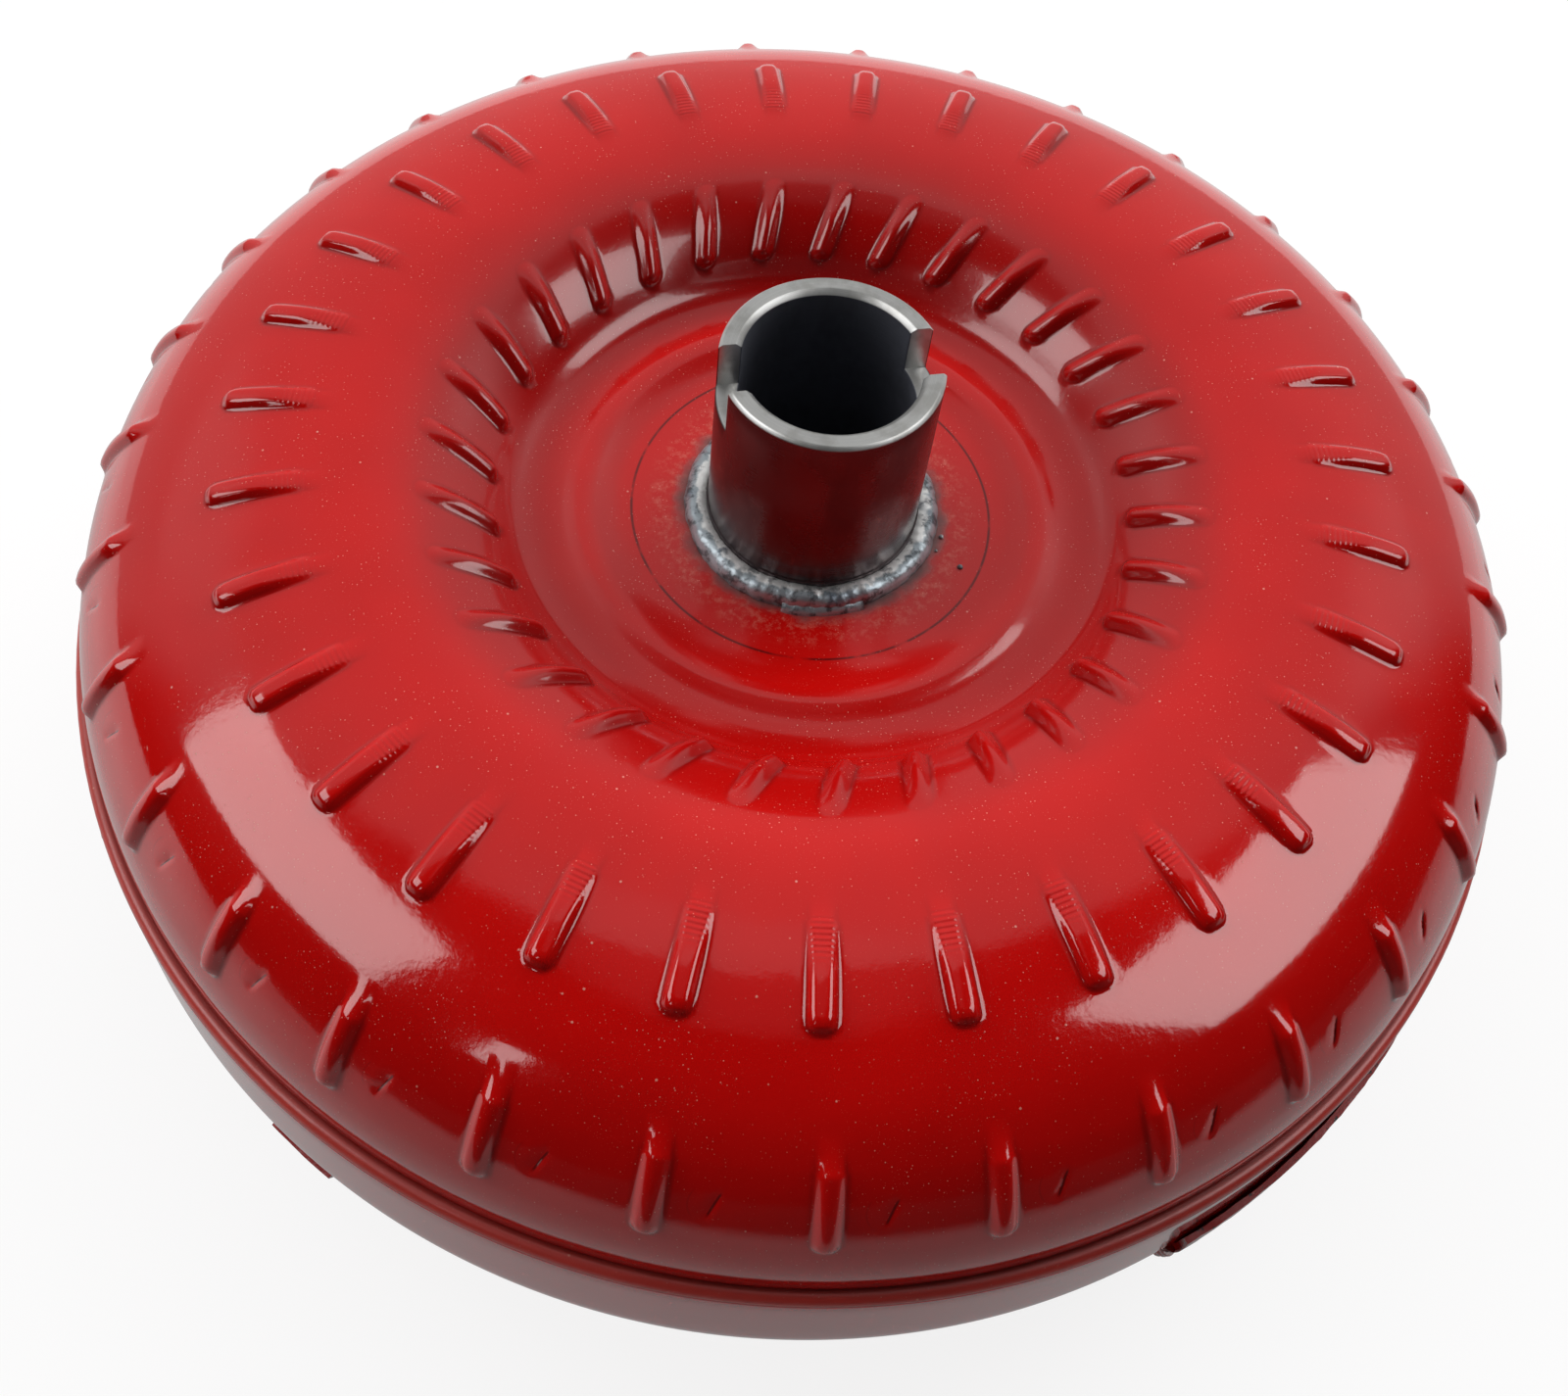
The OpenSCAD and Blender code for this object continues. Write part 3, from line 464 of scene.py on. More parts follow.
def turned_steel(name, tint, roughness=0.26, lines=0.35, oil=0.0, metallic=1.0):
    """Steel turned on a lathe: fine rings round the axis and oil stains."""
    f = Finish(name)
    z, r = f.height(), f.radius()
    rings = f.node("ShaderNodeTexNoise", {"noise_dimensions": "1D"},
        {"W": z + r, "Scale": 1 / lines, "Detail": 3.0})
    stain = f.noise(9.0, 5.0, (1.0, 1.0, 0.6)).step(0.42, 0.66)
    colour = f.mix(stain * (0.25 + oil), tint, darker(tint, 0.42))
    colour = f.mix(rings.step(0.35, 0.7) * 0.35, colour, darker(tint, 0.7))
    normal = f.bump(rings, 0.015, below=f.bump(f.noise(1.2, 4.0), 0.01))
    rough = rings * 0.10 + roughness + stain * 0.12
    return f.finish(colour, rough, normal, metallic=metallic)


def hub_journal(name):
    """The hub's steel: a dark, oily ground wall, a bright faced end, and heat by the weld."""
    f = Finish(name)
    z, r = f.height(), f.radius()
    rings = f.node("ShaderNodeTexNoise", {"noise_dimensions": "1D"},
        {"W": z + r * 3.0, "Scale": 3.2, "Detail": 3.0})
    smear = f.noise(13.0, 4.0, (1.0, 1.0, 0.45)).step(0.36, 0.68)
    wall = f.mix(smear * 0.6, shade(106, 98, 98), shade(70, 62, 64))
    scuffs = f.noise(1.1, 5.0, (1.0, 1.0, 0.5), 0.7).step(0.60, 0.68)
    scuffs = scuffs * f.noise(12.0).step(0.5, 0.62)
    wall = f.mix(scuffs * 0.5, wall, shade(160, 150, 142))
    by_weld = (z + f.noise(6.0) * 4.0).drop(PAD_Z + 5.0, PAD_Z + 12.0)
    wall = f.mix(by_weld * 0.7, wall, shade(48, 40, 44))
    face = f.mix(f.noise(5.0, 4.0).step(0.42, 0.66) * 0.45, shade(210, 210, 208),
        shade(162, 160, 154))
    face = f.mix(rings.step(0.4, 0.7) * 0.4, face, shade(160, 160, 158))
    faced = r.drop(HUB_R - 0.40, HUB_R - 0.12).either(
        z.step(HUB_TOP_Z - 0.95, HUB_TOP_Z - 0.75))
    colour = f.mix(faced, wall, face)
    normal = f.bump(rings, 0.006, below=f.bump(f.noise(1.4, 4.0), 0.008))
    rough = rings * 0.08 + 0.20 + smear * 0.10 + faced * 0.14
    return f.finish(colour, rough, normal, metallic=1.0)


def weld_bead(name, round_hub=False):
    """A bead as welded: grey scale, bright ripples, blue and brown burns, a little rust."""
    f = Finish(name)
    scale = f.noise(2.6, 5.0, rough=0.65)
    colour = f.mix(scale.step(0.38, 0.60), shade(176, 178, 180), shade(66, 68, 72))
    if round_hub:
        bright = (f.radius() + f.noise(3.2, 4.0) * 5.0).drop(28.2, 29.2)
        slate = f.mix(scale.step(0.46, 0.64), shade(166, 176, 182), shade(88, 94, 98))
        silver = f.mix(scale.step(0.50, 0.68), shade(252, 252, 250), shade(150, 150, 152))
        colour = f.mix(bright, slate, silver)
    colour = f.mix(f.noise(7.5, 3.0).step(0.56, 0.7) * 0.5, colour, shade(72, 84, 104))
    rust = f.noise(5.0, 4.0, rough=0.7).step(0.68, 0.75)
    colour = f.mix(rust * 0.8, colour, shade(128, 66, 34))
    normal = f.bump(scale, 0.22, below=f.bump(f.noise(0.8, 3.0), 0.06))
    return f.finish(colour, scale * 0.3 + 0.2, normal, metallic=0.6)


def sheet_steel(name, tint, grain=0.8, roughness=0.34):
    """Rolled or blanked sheet: a faint grain, drawing marks and a film of oil."""
    f = Finish(name)
    grain_lines = f.noise(grain, 4.0, (1.0, 0.18, 1.0))
    smear = f.noise(18.0, 4.0).step(0.38, 0.68)
    colour = f.mix(smear * 0.5, tint, darker(tint, 0.6))
    normal = f.bump(grain_lines, 0.02)
    return f.finish(colour, grain_lines * 0.16 + roughness - 0.08, normal, metallic=1.0,
        coat=0.15)


def cast_metal(name, tint, grain=0.7, roughness=0.42):
    """Die-cast aluminium: a fine pebbled skin with flow marks."""
    f = Finish(name)
    skin = f.noise(grain, 5.0, rough=0.7)
    flow = f.noise(16.0, 3.0, (1.0, 1.0, 0.4))
    colour = f.mix(flow.step(0.4, 0.65) * 0.4, tint, darker(tint, 0.72))
    normal = f.bump(skin, 0.05, below=f.bump(flow, 0.12))
    return f.finish(colour, skin * 0.22 + roughness - 0.1, normal, metallic=1.0)


red_shell = enamel("shell_enamel", ribbed=True)
red_cover = enamel("cover_enamel", dust=0.6)
red_matt = enamel("closure_enamel", matt=0.8)
red_rough = enamel("lug_enamel", dust=0.5, worn=1.0)
hub_steel = hub_journal("hub_turned_steel")
bore_steel = turned_steel("hub_bore_steel", shade(102, 104, 114), roughness=0.30, oil=0.2,
    metallic=0.35)
pilot_steel = turned_steel("pilot_ground_steel", shade(168, 164, 158), roughness=0.24)
bead_metal = weld_bead("weld_bead_metal")
hub_bead_metal = weld_bead("hub_weld_metal", round_hub=True)
FINISHES = {
    "blade_steel": sheet_steel("blade_sheet_steel", shade(168, 166, 162)),
    "forged_steel": turned_steel("forged_oiled_steel", shade(118, 112, 106), oil=0.3),
    "stator_aluminium": cast_metal("stator_cast_aluminium", shade(196, 196, 194)),
    "ground_steel": turned_steel("ground_race_steel", shade(200, 200, 200), 0.16, 0.2),
    "spring_steel": sheet_steel("tempered_spring_steel", shade(150, 132, 100), 0.4, 0.3),
    "cage_brass": sheet_steel("stamped_cage_brass", shade(196, 162, 88), 0.5, 0.3),
    "bearing_bronze": cast_metal("sintered_bronze", shade(168, 122, 70), 0.3),
}

# ---- Meshes turned about the axis ----


def point_on(centre, radius, degrees):
    """The point of a circle at an angle."""
    angle = math.radians(degrees)
    return (centre[0] + radius * math.cos(angle), centre[1] + radius * math.sin(angle))


def direction(start, end):
    """The way from one point to another, in degrees."""
    return math.degrees(math.atan2(end[1] - start[1], end[0] - start[0]))


def leg(hypotenuse, side):
    """The other short side of a right-angled triangle."""
    return math.sqrt(hypotenuse * hypotenuse - side * side)


def arc(centre, radius, start, end, spacing=0.25):
    """Points along an arc of an outline, (r, z) in millimetres."""
    count = max(2, int(abs(math.radians(end - start)) * radius / spacing) + 1)
    return [point_on(centre, radius, start + (end - start) * i / count)
        for i in range(count + 1)]


def line(start, end, spacing=0.25):
    """Points along a straight part of an outline."""
    count = max(1, int(math.dist(start, end) / spacing))
    return [(start[0] + (end[0] - start[0]) * i / count,
        start[1] + (end[1] - start[1]) * i / count) for i in range(count + 1)]


def about_axis(r, turn, z):
    """A place in metres, from a radius and a height in millimetres and a turn in radians."""
    return (r * math.cos(turn) * MM, r * math.sin(turn) * MM, z * MM)


def at_azimuth(r, azimuth, z):
    """The same, from a turn in degrees."""
    return about_axis(r, math.radians(azimuth), z)


def joined(*parts):
    """One outline from several, without the doubled points."""
    path = []
    for part in parts:
        path += [p for p in part if not path or math.dist(p, path[-1]) > 1e-4]
    return path


def new_object(name, verts, faces, material):
    mesh = bpy.data.meshes.new(name)
    mesh.from_pydata(verts, [], faces)
    mesh.materials.append(material)
    mesh.validate()
    return linked(name, mesh)


def face_outwards(mesh):
    """Merges doubled vertices and turns every face outwards."""
    work = bmesh.new()
    work.from_mesh(mesh)
    bmesh.ops.remove_doubles(work, verts=work.verts, dist=1e-6)
    bmesh.ops.recalc_face_normals(work, faces=work.faces)
    work.to_mesh(mesh)
    work.free()


def smooth(made, angle=35.0):
    """Smooth shading, but for edges that turn by more than the angle."""
    made.data.shade_smooth()
    made.data.set_sharp_from_angle(angle=math.radians(angle))
    return made


def wall_between(count, here, there):
    """The faces between two outlines of count points, from their first vertices' numbers."""
    return [(here + i, there + i, there + (i + 1) % count, here + (i + 1) % count)
        for i in range(count)]


def ring_face(width, low, high, i):
    """The face between two level rings of width vertices, from vertex i to the next."""
    n = (i + 1) % width
    return (low * width + i, low * width + n, high * width + n, high * width + i)


def turned(name, outline, material, columns):
    """A closed outline (r, z), in millimetres, turned about the axis."""
    count = len(outline)
    verts, faces = [], []
    for j in range(columns):
        verts += [about_axis(r, FULL_TURN * j / columns, z) for r, z in outline]
        faces += wall_between(count, j * count, (j + 1) % columns * count)
    made = new_object(name, verts, faces, material)
    face_outwards(made.data)
    return smooth(made)


def applied(made):
    """Turns an object's modifiers into plain mesh, and removes them."""
    shown = made.evaluated_get(bpy.context.evaluated_depsgraph_get())
    mesh = bpy.data.meshes.new_from_object(shown)
    made.modifiers.clear()
    old = made.data
    made.data = mesh
    bpy.data.meshes.remove(old)
    mesh.name = made.name
    return made


def finished(made, body, slot, *nodes):
    """Puts a piece on its body and hides the solids it stands for. The slot is not used."""
    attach(made, body)
    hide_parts(*nodes)
    return made


# ---- The pump shell: outline, embossed ribs and dents ----

SIDE_C = (RIM_R - SIDE_ARC_R, JOINT_Z + RIM_HEIGHT)
reach_in = SIDE_C[0] + SIDE_ARC_R - CREST_R
reach_up = CREST_Z - SIDE_C[1]
CROWN_ARC_R = (reach_in ** 2 + reach_up ** 2 - 2 * reach_in * SIDE_ARC_R) \
    / (2 * (reach_up - SIDE_ARC_R))
CROWN_C = (CREST_R, CREST_Z - CROWN_ARC_R)
INNER_C = (CREST_R, CREST_Z - INNER_ARC_R)
VALLEY_C = (CREST_R - leg(INNER_ARC_R + VALLEY_ARC_R, VALLEY_Z + VALLEY_ARC_R - INNER_C[1]),
    VALLEY_Z + VALLEY_ARC_R)
RIDGE_CZ = VALLEY_Z + RIDGE_RISE - RIDGE_ARC_R
RIDGE_C = (VALLEY_C[0] - leg(RIDGE_ARC_R + VALLEY_ARC_R, VALLEY_C[1] - RIDGE_CZ), RIDGE_CZ)
FILLET_C = (RIDGE_C[0] - leg(RIDGE_ARC_R + PAD_FILLET_R, PAD_Z + PAD_FILLET_R - RIDGE_CZ),
    PAD_Z + PAD_FILLET_R)
CROWN_ANGLE = direction(CROWN_C, SIDE_C)
INNER_ANGLE = direction(INNER_C, VALLEY_C)
VALLEY_ANGLE = direction(VALLEY_C, RIDGE_C) + 360
RIDGE_ANGLE = direction(RIDGE_C, FILLET_C)


def shell_face(depth):
    """The shell's outline at a depth below its painted face, from the hub to the rim."""
    return joined(
        line((HUB_ROOT_R + FIT_GAP, PAD_Z - depth), (FILLET_C[0], PAD_Z - depth)),
        arc(FILLET_C, PAD_FILLET_R + depth, 270, RIDGE_ANGLE + 180),
        arc(RIDGE_C, RIDGE_ARC_R - depth, RIDGE_ANGLE, VALLEY_ANGLE - 180),
        arc(VALLEY_C, VALLEY_ARC_R + depth, VALLEY_ANGLE, INNER_ANGLE + 180),
        arc(INNER_C, INNER_ARC_R - depth, INNER_ANGLE, 90),
        arc(CROWN_C, CROWN_ARC_R - depth, 90, CROWN_ANGLE),
        arc(SIDE_C, SIDE_ARC_R - depth, CROWN_ANGLE, 0),
        line((RIM_R - depth, SIDE_C[1]), (RIM_R - depth, JOINT_Z)))


def run_lengths(path):
    """How far along a path each of its points lies."""
    total, lengths = 0.0, [0.0]
    for a, b in zip(path, path[1:]):
        total += math.dist(a, b)
        lengths.append(total)
    return lengths


face_path = shell_face(0.0)
face_runs = run_lengths(face_path)


def along_at(test):
    """How far along the shell's face the first point lies that passes a test."""
    return next(run for run, (r, z) in zip(face_runs, face_path) if test(r, z))


class Ring:
    """One ring of embossed ribs, in millimetres along the face and degrees about the axis.
    flat is the share of a rib's half width that stays level, fade the share of its height
    left at its shallow end, and steep_end 1 or -1 as its outer or inner end is the full one."""

    def __init__(self, radii, phase, width, height, **shape):
        self.radii = radii
        self.start, self.end = (along_at(lambda r, z: r > radius) for radius in radii)
        self.middle = (self.start + self.end) / 2
        self.phase, self.width, self.height = phase, width, height
        self.slant, self.corner = shape.get("slant", 0.0), shape.get("corner", width / 2)
        self.flat, self.fade, self.steep_end = shape["flat"], shape["fade"], shape["steep_end"]


inner_ring = Ring((70.8, 87.6), INNER_PHASE, 5.4, 1.9, slant=14.5, flat=0.12, fade=0.2,
    steep_end=-1)
outer_ring = Ring((109.3, 130.3), OUTER_PHASE, 5.8, 1.7, corner=2.3, flat=0.46, fade=0.3,
    steep_end=1)
side_ring = Ring((149.6, 160.7), SIDE_PHASE, 5.5, 1.8, corner=2.5, flat=0.25, fade=0.85,
    steep_end=1)
dent_along = along_at(lambda r, z: r > DENT_R and z < 110)
pad_line_along = PAD_LINE_R - HUB_ROOT_R - FIT_GAP


def blend(value, low, high):
    """A smooth step of a number, from 0 at low to 1 at high."""
    t = min(1.0, max(0.0, (value - low) / (high - low)))
    return t * t * (3 - 2 * t)


# How far apart the shell's rows lie along its face, in millimetres.
PLAIN_ROW, VALLEY_ROW, RIB_ROW, RIB_END_ROW, DENT_ROW, LINE_ROW = 3.6, 1.9, 1.5, 0.62, 0.9, 0.3
VALLEY_BEGINS = 26.0


def row_stations():
    """Where the shell's rows lie along its face: closest together at the ends of the ribs."""
    stations, at = [], 0.0
    last = face_runs[-1]
    while at < last:
        stations.append(at)
        step = VALLEY_ROW if VALLEY_BEGINS < at < inner_ring.start else PLAIN_ROW
        for ring in (inner_ring, outer_ring, side_ring):
            if ring.start - 1.6 < at < ring.end + 1.2:
                step = RIB_ROW
            if min(abs(at - ring.start - 0.8), abs(at - ring.end + 0.8)) < 1.9:
                step = RIB_END_ROW
        if abs(at - dent_along) < 3.6:
            step = DENT_ROW
        if abs(at - pad_line_along) < 0.9:
            step = LINE_ROW
        at += step
    return stations + [last]


def at_station(path, lengths, station):
    """The point of an outline at a run length, and its outward direction."""
    i = 1
    while i < len(path) - 1 and lengths[i] < station:
        i += 1
    span = lengths[i] - lengths[i - 1]
    t = (station - lengths[i - 1]) / span if span else 0.0
    a, b = path[i - 1], path[i]
    back, ahead = path[max(i - 2, 0)], path[min(i + 1, len(path) - 1)]
    run = (ahead[0] - back[0], ahead[1] - back[1])
    size = math.hypot(*run)
    return ((a[0] + (b[0] - a[0]) * t, a[1] + (b[1] - a[1]) * t),
        (-run[1] / size, run[0] / size))


# Where the columns of one period stand: in half widths of a rib, and in degrees past it.
HALF_RIB = (0.35, 0.6, 0.74, 0.87, 1.0, 1.14, 1.42)
HALF_WIDTH = 2.8
RIB_COLUMNS = (*(-c for c in reversed(HALF_RIB)), 0.0, *HALF_RIB)
DENT_COLUMNS = (2.9, 3.5, 3.9, 4.14, 4.26, 4.7)
OTHER_COLUMNS = (5.8, 7.0, 8.2, 9.3)
# How far from a slanted rib's middle or from the dents the columns turn level again.
SLANT_FADES, LEAN_FADES = (11.0, 16.0), (3.5, 8.0)
UNDER_ROWS, OFF_FACE = 16, -1.0


def column_azimuths(station, r):
    """The azimuths of one period's columns: gathered on the ribs, and on the side's dents."""
    to_outer = blend(station, inner_ring.end, outer_ring.start)
    to_side = blend(station, outer_ring.end, side_ring.start)
    slanted = inner_ring.phase - math.degrees((station - inner_ring.middle)
        * math.tan(math.radians(inner_ring.slant)) / r) \
        * (1 - blend(abs(station - inner_ring.middle), *SLANT_FADES))
    centre = slanted + (outer_ring.phase - slanted) * to_outer
    centre += (side_ring.phase - centre) * to_side
    half = math.degrees(HALF_WIDTH / max(r, 60.0))
    ribs = [c * half for c in RIB_COLUMNS]
    low, high = ribs[-1], PERIOD + ribs[0]
    lean = -math.degrees(DENT_LEAN * (station - dent_along) / r) \
        * (1 - blend(abs(station - dent_along), *LEAN_FADES))
    others = [*(c + lean for c in DENT_COLUMNS), *OTHER_COLUMNS]
    even = [low + (high - low) * (i + 1) / (len(others) + 1) for i in range(len(others))]
    spread = [e + (o - e) * to_side for e, o in zip(even, others)]
    return [centre + a for a in ribs + spread]


def shell_mesh():
    """The shell as a closed wall. Each vertex keeps its run length and outward direction, if
    it is on the painted face."""
    stations = row_stations()
    under_path = shell_face(SHELL_WALL)
    under_runs = run_lengths(under_path)
    rows = []
    for station in stations:
        (r, z), (out_r, out_z) = at_station(face_path, face_runs, station)
        rows.append((r, z, out_r, out_z, station, station))
    tail = [(SPIGOT_R, JOINT_Z), (SPIGOT_R, SPIGOT_Z), (RIM_R - SHELL_WALL, SPIGOT_Z)]
    rows += [(r, z, 0.0, 0.0, OFF_FACE, face_runs[-1]) for r, z in tail]
    for k in range(UNDER_ROWS, -1, -1):
        share = k / UNDER_ROWS
        (r, z), _ = at_station(under_path, under_runs, under_runs[-1] * share)
        rows.append((r, z, 0.0, 0.0, OFF_FACE, face_runs[-1] * share))
    verts, along, outward = [], [], []
    width = len(RIB_COLUMNS + DENT_COLUMNS + OTHER_COLUMNS) * RIB_COUNT
    for r, z, out_r, out_z, mark, station in rows:
        offsets = column_azimuths(station, max(r, 30.0))
        for i in range(RIB_COUNT):
            for offset in offsets:
                angle = math.radians(offset + i * PERIOD)
                c, s = math.cos(angle), math.sin(angle)
                verts.append((r * c * MM, r * s * MM, z * MM))
                along.append(mark)
                outward += (out_r * c, out_r * s, out_z)
    faces = [ring_face(width, j, (j + 1) % len(rows), i)
        for j in range(len(rows)) for i in range(width)]
    made = new_object("pump_shell_pressing", verts, faces, red_shell)
    mesh = made.data
    mesh.attributes.new("along", "FLOAT", "POINT").data.foreach_set("value", along)
    mesh.attributes.new("outward", "FLOAT_VECTOR", "POINT").data.foreach_set("vector", outward)
    return made


def group_tree(name, inputs):
    """A geometry tree with named inputs. Returns it with a wire for each input."""
    group = bpy.data.node_groups.new(name, "GeometryNodeTree")
    group.interface.new_socket("Geometry", in_out="INPUT", socket_type="NodeSocketGeometry")
    group.interface.new_socket("Geometry", in_out="OUTPUT", socket_type="NodeSocketGeometry")
    for label, value in inputs.items():
        kind = "NodeSocketMaterial" if isinstance(value, bpy.types.Material) \
            else "NodeSocketFloat"
        group.interface.new_socket(label, in_out="INPUT", socket_type=kind)
    tree = Tree(group)
    source = group.nodes.new("NodeGroupInput")
    wires = {socket.name: Wire(tree, socket) for socket in source.outputs if socket.name}
    return tree, wires


def close_tree(tree, wires, shape):
    """Ends a geometry tree: copies made real, and the finish put on."""
    real = tree.node("GeometryNodeRealizeInstances", None, {"Geometry": shape})
    done = tree.node("GeometryNodeSetMaterial", None,
        {"Geometry": real, "Material": wires["Finish"]})
    tree.output("NodeGroupOutput", "Geometry", done)


def named(tree, name, kind="FLOAT"):
    """A value that the mesh carries at each point."""
    return tree.node("GeometryNodeInputNamedAttribute", {"data_type": kind}, {"Name": name})


def stored(tree, shape, name, value):
    """A shape that carries a value at each point."""
    return tree.node("GeometryNodeStoreNamedAttribute",
        {"data_type": "FLOAT", "domain": "POINT"},
        {"Geometry": shape, "Name": name, "Value": value})


def in_millimetres(tree):
    """Each point's place, in millimetres."""
    return tree.node("GeometryNodeInputPosition").scaled(1000.0)


def swollen(tree, shape, by):
    """A shape with its surface moved outwards by so many metres."""
    normal = tree.node("GeometryNodeInputNormal")
    return tree.node("GeometryNodeSetPosition", None,
        {"Geometry": shape, "Offset": normal.scaled(by)})


def add_tree(made, tree, inputs):
    """Puts a geometry tree on an object, with its inputs set by their identifiers."""
    modifier = made.modifiers.new("shape", "NODES")
    modifier.node_group = tree.tree
    for item in tree.tree.interface.items_tree:
        if item.in_out == "INPUT" and item.name in inputs:
            modifier[item.identifier] = inputs[item.name]
    return applied(made)


def rib_field(wires, label, along, azimuth, radius, steep_end):
    """The height of one ring of ribs at a point, in millimetres, and a mask of painted shade
    along its foot.
    """
    start, end = wires[label + " start"], wires[label + " end"]
    middle, half = (start + end) * 0.5, (end - start) * 0.5
    half_width, corner = wires[label + " width"] * 0.5, wires[label + " corner"]
    lean = wires[label + " slant"].math("RADIANS").math("TANGENT")
    across = from_nearest(azimuth, wires[label + " phase"], radius) + (along - middle) * lean
    aside = (abs(across) - half_width + corner).math("MAXIMUM", 0.0)
    beyond = (abs(along - middle) - half + corner).math("MAXIMUM", 0.0)
    edge = (aside * aside + beyond * beyond).math("SQRT") - corner
    body = (edge / half_width).drop(wires[label + " flat"] - 1.0, 0.2)
    fade = wires[label + " fade"]
    grown = ((along - middle) * steep_end / half).step(-1.0, 0.15)
    rise = fade + (1.0 - fade) * grown
    root_shade = abs(edge - 0.2).drop(0.05, 0.7) * rise
    return body * rise * wires[label + " height"], root_shade


def shell_tree(rings):
    """Embosses the three rings of ribs and the dents, and lets the pressing wander a little."""
    inputs = {}
    for label, ring in rings.items():
        for size in ("start", "end", "phase", "slant", "width", "height", "corner", "flat",
                "fade"):
            inputs[f"{label} {size}"] = getattr(ring, size)
    inputs.update({"Dent along": dent_along, "Dent azimuth": DENT_PHASE, "Dent lean": DENT_LEAN,
        "Dent depth": 0.35, "Dent width": 2.0, "Groove along": pad_line_along,
        "Groove depth": 0.35, "Wander": 0.10, "Finish": red_shell})
    tree, wires = group_tree("pressed_shell", inputs)
    along, outward = named(tree, "along"), named(tree, "outward", "FLOAT_VECTOR")
    place = in_millimetres(tree)
    x, y, azimuth = place.axis("X"), place.axis("Y"), place.azimuth()
    radius = (x * x + y * y).math("SQRT")
    height, root_shades = None, None
    for label, ring in rings.items():
        rib, root_shade = rib_field(wires, label, along, azimuth, radius, ring.steep_end)
        height = height.either(rib) if height else rib
        root_shades = root_shades.either(root_shade) if root_shades else root_shade
    down = along - wires["Dent along"]
    across = from_nearest(azimuth, wires["Dent azimuth"], radius) + down * wires["Dent lean"]
    dent = (across / wires["Dent width"]).step(-1.0, -0.05) * across.drop(-0.1, 0.28) \
        * abs(down).drop(1.6, 3.4) * wires["Dent depth"]
    groove = abs(along - wires["Groove along"]).drop(0.1, 0.45, wires["Groove depth"])
    wobble = tree.node("ShaderNodeTexNoise", None,
        {"Vector": place, "Scale": 0.045, "Detail": 2.0})
    moved = height - dent - groove + (wobble - 0.5) * wires["Wander"]
    on_face = along.step(OFF_FACE / 2, 0.0)
    shaped = tree.node("GeometryNodeSetPosition", None,
        {"Geometry": wires["Geometry"], "Offset": outward.scaled(moved * on_face * MM)})
    # Each point keeps the mask of painted shade at the ribs' feet, for the enamel.
    close_tree(tree, wires, stored(tree, shaped, "rib_root", root_shades * on_face))
    return tree, inputs


shell = shell_mesh()
add_tree(shell, *shell_tree({"Inner": inner_ring, "Outer": outer_ring, "Side": side_ring}))
smooth(shell, 50.0)
finished(shell, "housing", "housing_paint", "impeller_shell")

# ---- The pump hub ----


def slot_edge(r):
    """The azimuth at which a drive slot's wall meets a radius."""
    return math.asin(SLOT_WIDTH / 2 / r)


def pump_hub():
    """A turned tube with a flange inside the shell and two slots milled across its end."""
    wall_columns, slot_columns, row = 56, 12, 4.0
    low = PAD_Z - SHELL_WALL
    foot = [(HUB_BORE_R, low - HUB_FLANGE_T), (HUB_FLANGE_R, low - HUB_FLANGE_T),
        (HUB_FLANGE_R, low), (HUB_ROOT_R, low), (HUB_ROOT_R, HUB_ROOT_Z)]
    outside = line((HUB_R, HUB_ROOT_Z), (HUB_R, SLOT_FLOOR_Z), row)
    top = line((HUB_R, SLOT_FLOOR_Z), (HUB_R, HUB_TOP_Z - HUB_OUTER_CHAMFER), row)[1:]
    top += [(HUB_R - HUB_OUTER_CHAMFER, HUB_TOP_Z),
        (HUB_BORE_R + HUB_INNER_CHAMFER, HUB_TOP_Z)]
    top += line((HUB_BORE_R, HUB_TOP_Z - HUB_INNER_CHAMFER), (HUB_BORE_R, SLOT_FLOOR_Z), row)
    inside = line((HUB_BORE_R, SLOT_FLOOR_Z), (HUB_BORE_R, low - HUB_FLANGE_T), row)[1:-1]
    outline = foot + outside + top + inside
    first_top = len(foot + outside) - 1
    last_top = first_top + len(top)
    verts = []
    for r, z in outline:
        edge = slot_edge(r)
        for side in (0, 1):
            start = side * math.pi
            turns = [start - edge + 2 * edge * m / slot_columns for m in range(slot_columns)]
            turns += [start + edge + (math.pi - 2 * edge) * k / wall_columns
                for k in range(wall_columns)]
            verts += [about_axis(r, turn, z) for turn in turns]
    width = 2 * (wall_columns + slot_columns)
    in_slot = [i % (width // 2) < slot_columns for i in range(width)]
    # A slot has no faces above its floor: a level floor and two end walls close it instead.
    faces = [ring_face(width, j, (j + 1) % len(outline), i)
        for j in range(len(outline)) for i in range(width)
        if not (in_slot[i] and first_top <= j < last_top)]
    for i in range(width):
        if in_slot[i]:
            faces.append(ring_face(width, first_top, last_top, i))
        if in_slot[i] != in_slot[i - 1]:
            faces.append(tuple(j * width + i for j in range(first_top, last_top + 1)))
    made = new_object("pump_hub_tube", verts, faces, hub_steel)
    made.data.materials.append(bore_steel)
    face_outwards(made.data)
    bevel = made.modifiers.new("edges", "BEVEL")
    bevel.width, bevel.segments = HUB_EDGE * MM, 2
    bevel.limit_method, bevel.angle_limit = "ANGLE", math.radians(38)
    applied(made)
    for face in made.data.polygons:
        r = math.hypot(face.center.x, face.center.y) / MM
        inward = face.normal.x * face.center.x + face.normal.y * face.center.y < 0
        in_bore = r < HUB_BORE_R + 0.4 and inward
        if in_bore and face.center.z < (HUB_TOP_Z - HUB_INNER_CHAMFER) * MM:
            face.material_index = 1
    return smooth(made, 30.0)


